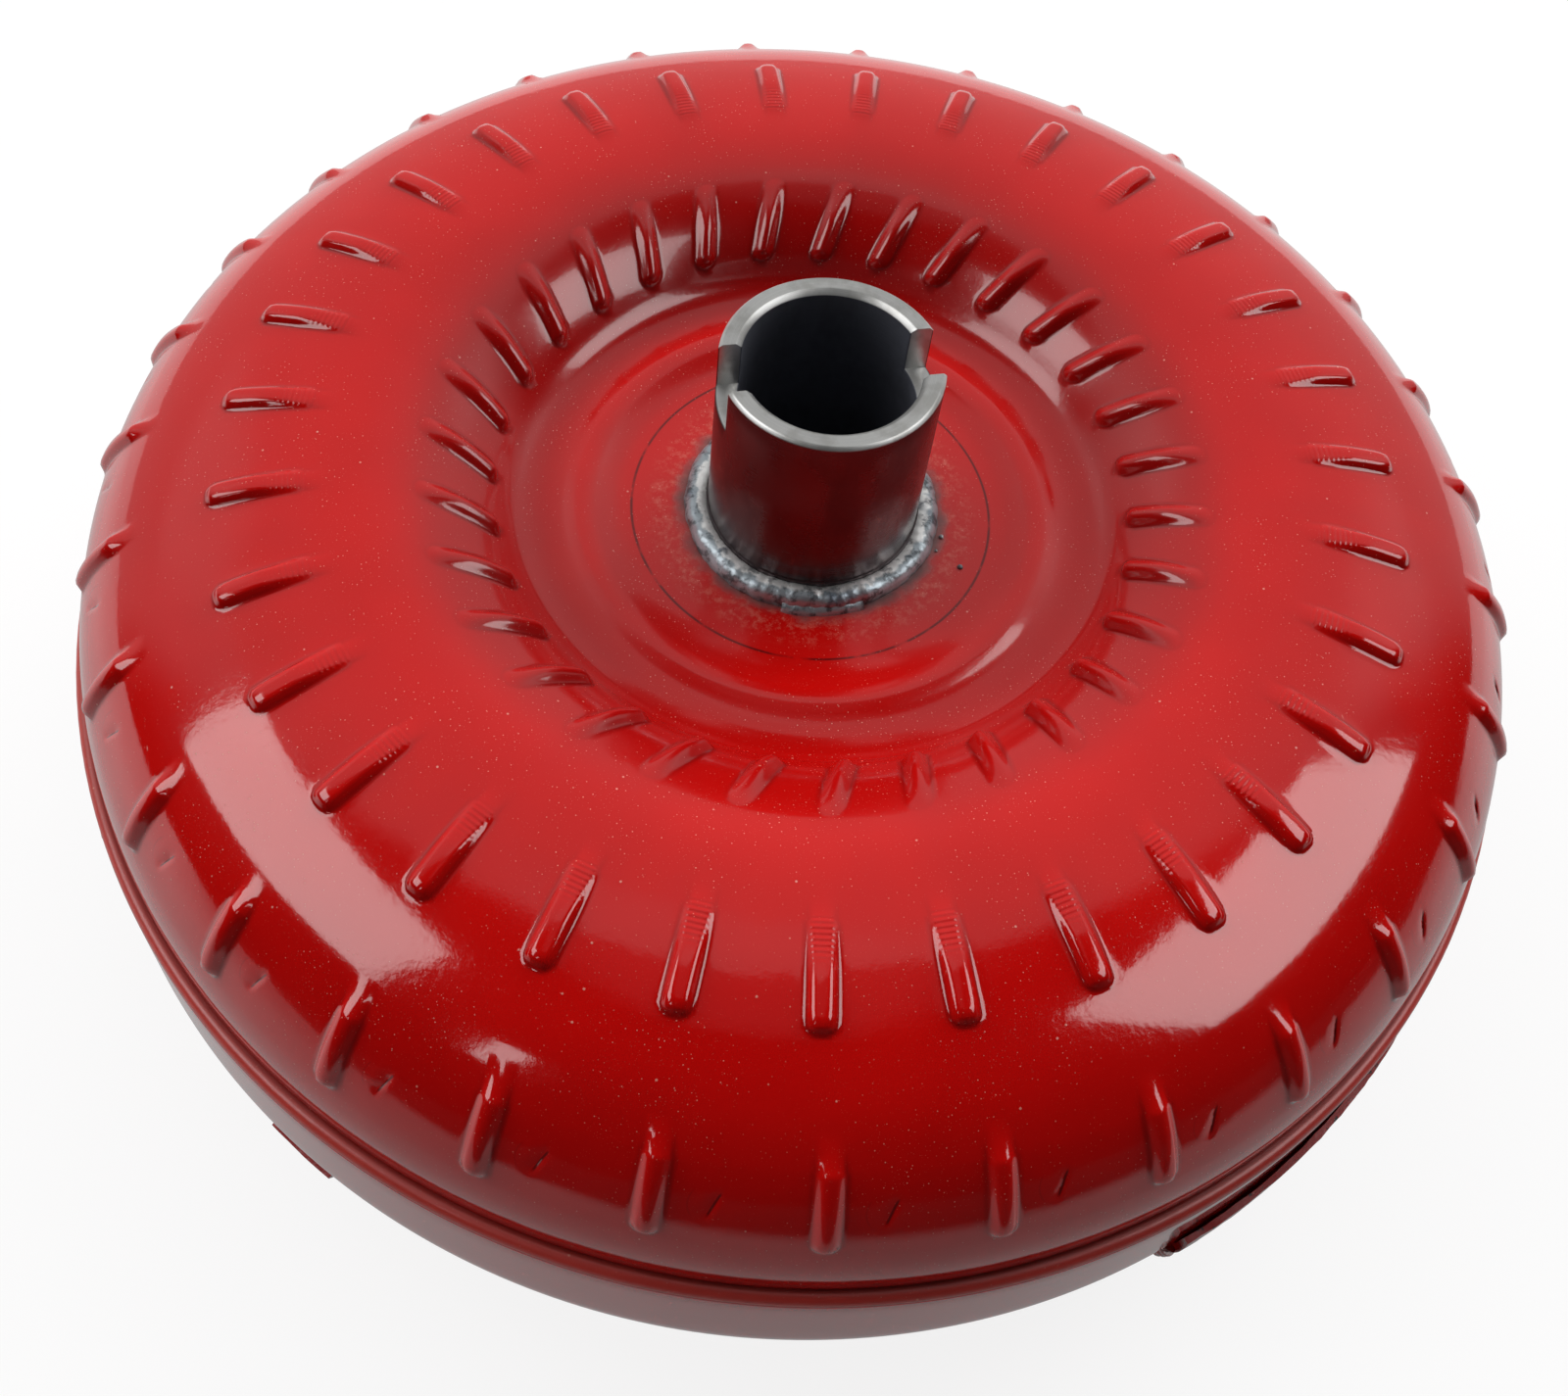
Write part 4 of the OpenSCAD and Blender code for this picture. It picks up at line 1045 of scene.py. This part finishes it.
hub = finished(pump_hub(), "housing", "hub_steel", "impeller_hub")

# ---- Weld beads, laid along paths by one geometry tree ----


def bead_tree():
    """A bead along a path: a round section with ripples across it and uneven lumps, which
    tapers at the ends of an open path."""
    inputs = {"Bead radius": 2.0, "Ripple length": 2.0, "Ripple depth": 0.1, "Spacing": 0.6,
        "Lump depth": 0.4, "Lump size": 4.0, "Seed": 1.0, "Finish": bead_metal}
    tree, wires = group_tree("laid_bead", inputs)
    path = tree.node("GeometryNodeMeshToCurve", None, {"Mesh": wires["Geometry"]})
    fine = tree.node("GeometryNodeResampleCurve", {"mode": "LENGTH"},
        {"Curve": path, "Length": wires["Spacing"] * MM})
    run = tree.node("GeometryNodeSplineParameter", None, None, "Length") * 1000.0
    share = tree.node("GeometryNodeSplineParameter", None, None, "Factor")
    closed = tree.node("GeometryNodeInputSplineCyclic")
    rounded = (share * (1.0 - share) * 4.0 + closed).math("MINIMUM", 1.0) ** 0.4
    guide = tree.node("GeometryNodeSetCurveRadius", None,
        {"Curve": stored(tree, fine, "run", run), "Radius": rounded})
    section = tree.node("GeometryNodeCurvePrimitiveCircle", None,
        {"Resolution": 18, "Radius": wires["Bead radius"] * MM})
    tube = tree.node("GeometryNodeCurveToMesh", None,
        {"Curve": guide, "Profile Curve": section, "Fill Caps": True})
    wave = (named(tree, "run") / wires["Ripple length"] * FULL_TURN).math("SINE")
    lump = tree.node("ShaderNodeTexNoise", {"noise_dimensions": "4D"},
        {"Vector": in_millimetres(tree), "W": wires["Seed"],
         "Scale": 1.0 / wires["Lump size"], "Detail": 2.0})
    swell = (wave * wires["Ripple depth"] + (lump - 0.5) * 2.0 * wires["Lump depth"]) * MM
    soft = tree.node("GeometryNodeSetShadeSmooth", None,
        {"Geometry": swollen(tree, tube, swell)})
    close_tree(tree, wires, soft)
    return tree, inputs


BEAD, BEAD_SIZES = bead_tree()


def bead(name, paths, material, **sizes):
    """Beads along several paths; each path is a list of places in metres and a flag that
    says whether it closes."""
    verts, edges = [], []
    for points, closed in paths:
        first = len(verts)
        verts += points
        edges += [(first + i, first + i + 1) for i in range(len(points) - 1)]
        if closed:
            edges.append((len(verts) - 1, first))
    mesh = bpy.data.meshes.new(name)
    mesh.from_pydata(verts, edges, [])
    inputs = dict(BEAD_SIZES, Finish=material)
    inputs.update({label.replace("_", " "): value for label, value in sizes.items()})
    return add_tree(linked(name, mesh), BEAD, inputs)


def full_circle(radius, z, points=180):
    """A closed level path about the axis."""
    return [about_axis(radius, FULL_TURN * i / points, z) for i in range(points)], True


def level_arc(radius, z, start, end, points=12):
    """An open level path about the axis, between two azimuths."""
    return [at_azimuth(radius, start + (end - start) * i / (points - 1), z)
        for i in range(points)], False


# The hub's bead ends in a lump on the pad, where the welder stopped.
STOP_BEFORE, STOP_AFTER = 28, 9
stop_place = placed("weld_stop", shell)
stop_azimuth = math.degrees(math.atan2(stop_place.y, stop_place.x))
stop_r = math.hypot(stop_place.x, stop_place.y) / MM
hub_bead = bead("hub_weld_bead", [full_circle(HUB_ROOT_R + 1.6, PAD_Z + 0.7),
    level_arc(stop_r + 1.0, PAD_Z - 1.0, stop_azimuth - STOP_BEFORE, stop_azimuth + STOP_AFTER)],
    hub_bead_metal, Bead_radius=3.1, Ripple_length=2.6, Ripple_depth=0.06, Lump_depth=0.8,
    Lump_size=5.2)
finished(hub_bead, "housing", "weld_steel", "hub_weld")
closure_bead = bead("closure_bead", [full_circle(CLOSURE_R, JOINT_Z - 0.8, 360)], red_matt,
    Bead_radius=1.9, Ripple_length=6.0, Ripple_depth=0.02, Lump_depth=0.08, Lump_size=14.0,
    Spacing=2.0)
finished(closure_bead, "housing", "housing_paint", "closure_weld")
pilot_bead = bead("pilot_weld_bead", [full_circle(PILOT_ROOT_R + 1.0, DISH_Z - 0.8)],
    bead_metal, Bead_radius=2.6, Ripple_length=2.2, Ripple_depth=0.12, Lump_depth=0.25)
finished(pilot_bead, "housing", "weld_steel", "pilot_weld")

# ---- Weld spatter on the pad ----

SPATTER_SEED = 4


def spatter_tree():
    """A small ball, sunk a little, at each point of a mesh, sized by the point's number."""
    inputs = {"Least radius": 0.35, "Most radius": 0.75, "Finish": bead_metal}
    tree, wires = group_tree("weld_spatter", inputs)
    ball = tree.node("GeometryNodeMeshIcoSphere", None, {"Radius": MM, "Subdivisions": 2}, 0)
    size = tree.node("FunctionNodeRandomValue", {"data_type": "FLOAT"},
        {2: wires["Least radius"], 3: wires["Most radius"], "Seed": SPATTER_SEED}, 1)
    balls = tree.node("GeometryNodeInstanceOnPoints", None,
        {"Points": wires["Geometry"], "Instance": ball, "Scale": size})
    close_tree(tree, wires, balls)
    return tree, inputs


spatter_places = [placed(name, shell) for name in SPATTER_NAMES]
spatter = new_object("weld_spatter", spatter_places, [], bead_metal)
add_tree(spatter, *spatter_tree())
smooth(spatter)
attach(spatter, "housing")

# ---- The front cover ----


def cover_outline():
    """The cover's section: a pressed cup with a dish, and a rounded upper edge."""
    step_foot = DISH_R + DISH_STEP
    inside_z, floor_z = DISH_Z + COVER_WALL, FACE_Z + COVER_WALL
    return joined(
        line((PILOT_ROOT_R + FIT_GAP, DISH_Z), (DISH_R, DISH_Z), 6.0),
        [(DISH_R + 1.6, DISH_Z + 0.6), (DISH_R + 2.8, FACE_Z - 0.3), (step_foot, FACE_Z)],
        line((step_foot, FACE_Z), (SHOULDER_R, FACE_Z), 6.0),
        arc(SHOULDER_C, SHOULDER_ARC_R, 270, 360, 2.0),
        line((COVER_R, SHOULDER_Z), (COVER_R, JOINT_Z - COVER_EDGE_R), 4.0),
        arc((COVER_R - COVER_EDGE_R, JOINT_Z - COVER_EDGE_R), COVER_EDGE_R, 0, 90, 0.4),
        line((COVER_R - COVER_WALL, JOINT_Z), (COVER_R - COVER_WALL, SHOULDER_Z), 8.0),
        arc(SHOULDER_C, SHOULDER_ARC_R - COVER_WALL, 360, 270, 3.0),
        line((SHOULDER_R, floor_z), (DISH_R + COVER_WALL, floor_z), 12.0),
        [(DISH_R, inside_z), (PILOT_ROOT_R + FIT_GAP, inside_z)])


finished(turned("front_cover_pressing", cover_outline(), red_cover, 360),
    "housing", "housing_paint", "front_cover")

# ---- Lugs and the balance weight: sections swept round part of the cover ----


def uneven_tree():
    """Moves a surface in and out by noise, more towards its upper edge."""
    inputs = {"Lump size": 5.0, "Lump depth": 0.18, "Edge from": 44.0, "Edge depth": 0.35,
        "Finish": red_rough}
    tree, wires = group_tree("uneven_paint", inputs)
    place = in_millimetres(tree)
    lump = tree.node("ShaderNodeTexNoise", None,
        {"Vector": place, "Scale": 1.0 / wires["Lump size"], "Detail": 4.0})
    edge = (place.axis("Z") - wires["Edge from"]).step(0.0, 6.0) * wires["Edge depth"]
    shift = (lump - 0.5) * 2.0 * (edge + wires["Lump depth"]) * MM
    close_tree(tree, wires, swollen(tree, wires["Geometry"], shift))
    return tree, inputs


UNEVEN, UNEVEN_SIZES = uneven_tree()


def swept(name, outline, azimuths, angle, material, columns):
    """A closed section (r, z) swept round the axis by an angle, once at each azimuth."""
    verts, faces = [], []
    count = len(outline)
    for azimuth in azimuths:
        first = len(verts)
        for j in range(columns + 1):
            verts += [at_azimuth(r, azimuth - angle / 2 + angle * j / columns, z)
                for r, z in outline]
        for j in range(columns):
            faces += wall_between(count, first + j * count, first + (j + 1) * count)
        faces.append(tuple(first + i for i in range(count)))
        faces.append(tuple(first + columns * count + i for i in reversed(range(count))))
    made = new_object(name, verts, faces, material)
    face_outwards(made.data)
    return made


def lug_outline():
    """A lug's section: a pad under the cover, and a leg that follows its shoulder up."""
    leg_t = LUG_LEG - 0.2
    leg_arc_r = SHOULDER_ARC_R + leg_t
    meet = math.degrees(math.acos((LUG_OUTER_R - SHOULDER_R) / leg_arc_r))
    top_z = SHOULDER_Z + LUG_RISE
    return joined(
        line((LUG_INNER_R, FACE_Z - LUG_PAD), (LUG_OUTER_R, FACE_Z - LUG_PAD), 2.0),
        line((LUG_OUTER_R, FACE_Z - LUG_PAD), point_on(SHOULDER_C, leg_arc_r, 360 - meet), 2.0),
        arc(SHOULDER_C, leg_arc_r, 360 - meet, 360, 1.2),
        line((COVER_R + leg_t, SHOULDER_Z), (COVER_R + leg_t, top_z), 1.0),
        line((COVER_R + leg_t, top_z), (COVER_R + 0.7, top_z), 0.7),
        line((COVER_R + 0.7, top_z), (COVER_R + 0.3, SHOULDER_Z - 2.0), 1.4),
        arc(SHOULDER_C, SHOULDER_ARC_R + SEAT_GAP, 352, 270, 2.0),
        line((SHOULDER_R, FACE_Z), (LUG_INNER_R, FACE_Z), 2.0))[:-1]


def cut(made, cutters):
    """Cuts objects away from a piece, and removes them."""
    for cutter in cutters:
        knife = made.modifiers.new("cut", "BOOLEAN")
        knife.operation, knife.solver, knife.object = "DIFFERENCE", "EXACT", cutter
    applied(made)
    for cutter in cutters:
        bpy.data.objects.remove(cutter)
    return made


DRILL_SIDES = 48


def drill(x, y, z0, z1, radius):
    """A round cutter from one height to another."""
    verts = []
    for z in (z0, z1):
        for i in range(DRILL_SIDES):
            angle = FULL_TURN * i / DRILL_SIDES
            verts.append(((x + radius * math.cos(angle)) * MM,
                (y + radius * math.sin(angle)) * MM, z * MM))
    faces = [tuple(reversed(range(DRILL_SIDES))), tuple(range(DRILL_SIDES, 2 * DRILL_SIDES))]
    faces += [ring_face(DRILL_SIDES, 0, 1, i) for i in range(DRILL_SIDES)]
    return new_object("drill", verts, faces, red_cover)


lugs = swept("drive_lugs", lug_outline(), LUG_AZIMUTHS, LUG_ANGLE, red_rough, 40)
add_tree(lugs, UNEVEN, UNEVEN_SIZES)
cut(lugs, [drill(*point_on((0, 0), BOLT_R, azimuth), low_z, FACE_Z + 1, radius)
    for azimuth in LUG_AZIMUTHS for low_z, radius in ((FACE_Z - LUG_PAD - 1, TAP_DRILL_R),
        (FACE_Z - TAP_RELIEF, TAP_DRILL_R + TAP_RELIEF))])
smooth(lugs, 40.0)
finished(lugs, "housing", "housing_paint", "mounting_lugs")


def lug_weld_path(azimuth):
    """An open path up the cover's shoulder, beside a lug."""
    path = arc(SHOULDER_C, SHOULDER_ARC_R + 0.5, 279, 350, 2.0)
    return [at_azimuth(r, azimuth, z) for r, z in path], False


lug_beads = bead("lug_weld_beads", [lug_weld_path(azimuth + side * (LUG_ANGLE / 2 + 0.35))
    for azimuth in LUG_AZIMUTHS for side in (-1, 1)], red_rough,
    Bead_radius=1.6, Ripple_length=2.4, Ripple_depth=0.12, Lump_depth=0.45, Lump_size=4.0)
finished(lug_beads, "housing", "weld_steel", "lug_welds")


def weight_outline():
    """The plate's section: a strip bent round the shoulder, and seated on it."""
    inner_r, outer_r = SHOULDER_ARC_R + SEAT_GAP, SHOULDER_ARC_R + WEIGHT_T
    return joined(arc(SHOULDER_C, outer_r, WEIGHT_FROM, WEIGHT_TO, 1.2),
        line(point_on(SHOULDER_C, outer_r, WEIGHT_TO),
            point_on(SHOULDER_C, inner_r, WEIGHT_TO), 0.9),
        arc(SHOULDER_C, inner_r, WEIGHT_TO, WEIGHT_FROM, 1.2),
        line(point_on(SHOULDER_C, inner_r, WEIGHT_FROM),
            point_on(SHOULDER_C, outer_r, WEIGHT_FROM), 0.9))[:-1]


weight = swept("balance_plate", weight_outline(), [WEIGHT_AZIMUTH], WEIGHT_ANGLE, red_rough, 16)
add_tree(weight, UNEVEN, dict(UNEVEN_SIZES, **{"Edge depth": 0.2, "Lump depth": 0.12}))
smooth(weight, 40.0)
finished(weight, "housing", "housing_paint", "balance_weight")

# ---- Finishes of the solids that are shown as they are ----

shown_as_built = {row["node"]: row["material_slot"] for row in frame["record"]["subparts"]}
for node_name, slot_name in shown_as_built.items():
    solid = frame["nodes"][node_name]
    if solid.hide_render:
        continue
    finish = pilot_steel if node_name == "crank_pilot" else FINISHES[slot_name]
    for slot in solid.material_slots:
        slot.material = finish

# ---- Floor, backdrop and lights ----

# The share of the floor's white that is its own glow to the camera, and the room's level.
CAMERA_GLOW, ROOM_LEVEL = 0.86, 0.8


def stage_floor():
    """A pale floor that keeps the shadow, and shows white to the camera and in gloss."""
    half = 6.0
    floor = new_object("studio_floor", [(-half, -half, 0), (half, -half, 0),
        (half, half, 0), (-half, half, 0)], [(0, 1, 2, 3)], floor_finish())


def light_path(tree, name):
    """One for a ray of the named kind, and nothing for others."""
    return tree.node("ShaderNodeLightPath", None, None, name)


def floor_finish():
    """Pale paper. The camera sees it white with the object's shadow; in gloss it is pale behind
    and beside the object, dimmed near it by a painted shadow, and dark from a third of a metre
    in front of it."""
    f = Finish("studio_floor_paper")
    to_camera = light_path(f, "Is Camera Ray")
    in_gloss = light_path(f, "Is Glossy Ray").either(light_path(f, "Is Transmission Ray"))
    y = f.place.axis("Y")
    behind = y.step(-0.28, 0.02)
    ahead = y.step(-0.42, -0.31, 0.03, 0.36)
    # In gloss, the floor's glow is dimmed near the axis, back to full 0.42 m out: a painted
    # shadow of the object.
    pale = (behind * (0.85 - ahead) + ahead) * f.radius().step(170.0, 420.0, 0.6, 1.0)
    white = f.mix(to_camera, (0.48, 0.48, 0.48), (1.0, 1.0, 1.0))
    paper = f.node("ShaderNodeBsdfDiffuse", None, {"Color": white})
    strength = to_camera * (1.0 - pale) + pale
    glow = f.node("ShaderNodeEmission", None, {"Color": (1.0, 1.0, 1.0, 1.0),
        "Strength": strength})
    mixed = f.node("ShaderNodeMixShader", None,
        {0: to_camera * CAMERA_GLOW + in_gloss, 1: paper, 2: glow})
    f.output("ShaderNodeOutputMaterial", "Surface", mixed)
    return f.material


def studio_world():
    """White to the camera. Soft light from both sides and behind. In gloss, a pale back wall
    with two brighter panels, a faint ceiling right above, and a dark room in front."""
    world = bpy.data.worlds.new("studio")
    bpy.context.scene.world = world
    world.use_nodes = True
    tree = Tree(world.node_tree)
    tree.tree.nodes.clear()
    to_camera = light_path(tree, "Is Camera Ray")
    in_gloss = light_path(tree, "Is Glossy Ray")
    way = tree.node("ShaderNodeTexCoord", None, None, "Generated")
    x, y, z, azimuth = way.axis("X"), way.axis("Y"), way.axis("Z"), way.azimuth()
    back = azimuth.step(6.0, 20.0) * azimuth.drop(148.0, 162.0) * z.step(-0.05, 0.02)
    panels = abs(abs(azimuth - 76.0) - 56.0).drop(6.0, 16.0) * abs(z - 0.55).drop(0.08, 0.2)
    ceiling = z.step(0.955, 0.985)
    sides = x * x * z.step(0.10, 0.45) * y.step(-0.2, 0.35)
    room = back * (panels * 0.22 + 0.45) + ceiling * 0.14 + 0.015
    soft = sides * 6.2 + back * 1.9 + 0.03
    strength = (in_gloss * (room - soft) + soft) * ROOM_LEVEL
    strength = to_camera * (1.0 - strength) + strength
    light = tree.node("ShaderNodeBackground", None,
        {"Color": (1.0, 1.0, 1.0, 1.0), "Strength": strength})
    tree.output("ShaderNodeOutputWorld", "Surface", light)


def soft_box(name, place, turn, width, height, watts):
    """A light that shows in gloss alone, because the world gives the matt light."""
    data = bpy.data.lights.new(name, "AREA")
    data.shape, data.size, data.size_y, data.energy = "RECTANGLE", width, height, watts
    made = linked(name, data)
    made.location = place
    made.rotation_euler = Euler([math.radians(a) for a in turn])
    made.visible_diffuse = False


stage_floor()
studio_world()
soft_box("left_box", (-0.896, -0.019, 0.932), (-56.95, 17.13, 101.19), 0.70, 0.60, 5.0)
soft_box("right_box", (0.845, -0.271, 0.968), (-60.28, -2.36, -125.26), 0.781, 0.609, 5.7)
soft_box("front_strip", (-0.823, -0.756, 0.966), (48.7, 0.0, -49.4), 0.09, 0.30, 0.32)

bpy.context.scene.view_settings.view_transform = "Standard"

# ---- How far each named thing shows from its image point ----


def on_shell(radius, azimuth):
    """A place on the shell's face, in metres, outside the valley."""
    (r, z), _ = at_station(face_path, face_runs, along_at(lambda far, _: far > radius))
    return at_azimuth(r, azimuth, z)


def nearest_rib(phase, azimuth):
    """The azimuth of the rib or mark of a ring that is nearest to an azimuth."""
    return phase + PERIOD * round((azimuth - phase) / PERIOD)


def points_off():
    """How far each named thing shows from its image point, in that frame's units. A ring's
    azimuth only picks out the rib or mark that the photo's point is on."""
    shown = [piece for piece in bpy.data.objects if piece.type == "MESH"
        and not piece.hide_render and piece.name != "studio_floor"]
    spots = [shown_at(vertex.co) for piece in shown for vertex in piece.data.vertices]
    rim = [shown_at(v.co) for v in hub.data.vertices if v.co.z > (HUB_TOP_Z - 2.0) * MM]
    xs, ys = [spot[0] for spot in spots], [spot[1] for spot in spots]
    near_lug = LUG_AZIMUTHS[1]
    inner_turn = math.degrees((inner_ring.end - inner_ring.middle)
        * math.tan(math.radians(inner_ring.slant)) / inner_ring.radii[1])
    found = {
        "left_edge": (min(xs), None), "right_edge": (max(xs), None),
        "top_edge": (None, min(ys)), "bottom_edge": (None, max(ys)),
        "hub_far_rim": (None, min(spot[1] for spot in rim)),
        "slot_corner_right": shown_at(at_azimuth(HUB_R, -math.degrees(slot_edge(HUB_R)),
            HUB_TOP_Z - HUB_OUTER_CHAMFER)),
        "slot_corner_left": shown_at(at_azimuth(HUB_R, 180 + math.degrees(slot_edge(HUB_R)),
            HUB_TOP_Z - HUB_OUTER_CHAMFER)),
        "near_inner_rib_foot": shown_at(on_shell(inner_ring.radii[1],
            nearest_rib(INNER_PHASE - inner_turn, 262.0))),
        "near_outer_rib_end": shown_at(on_shell(outer_ring.radii[1],
            nearest_rib(OUTER_PHASE, 260.0))),
        "near_side_rib_end": shown_at(on_shell(side_ring.radii[1],
            nearest_rib(SIDE_PHASE, 260.0))),
        "near_dent": shown_at(on_shell(DENT_R, nearest_rib(DENT_PHASE, 264.0))),
        "lug_right_corner": shown_at(at_azimuth(COVER_R + LUG_LEG,
            near_lug + LUG_ANGLE / 2, SHOULDER_Z + LUG_RISE)),
        "lug_left_corner": shown_at(at_azimuth(COVER_R + LUG_LEG,
            near_lug - LUG_ANGLE / 2, SHOULDER_Z + LUG_RISE)),
        "weld_stop": shown_at(stop_place),
    }
    for name, spot in zip(SPATTER_NAMES, spatter_places):
        found[name] = shown_at(spot)
    return {name: [None if place is None else round(place - point, 1)
        for place, point in zip(spot, IMAGE_POINTS[name])] for name, spot in found.items()}


points_off()
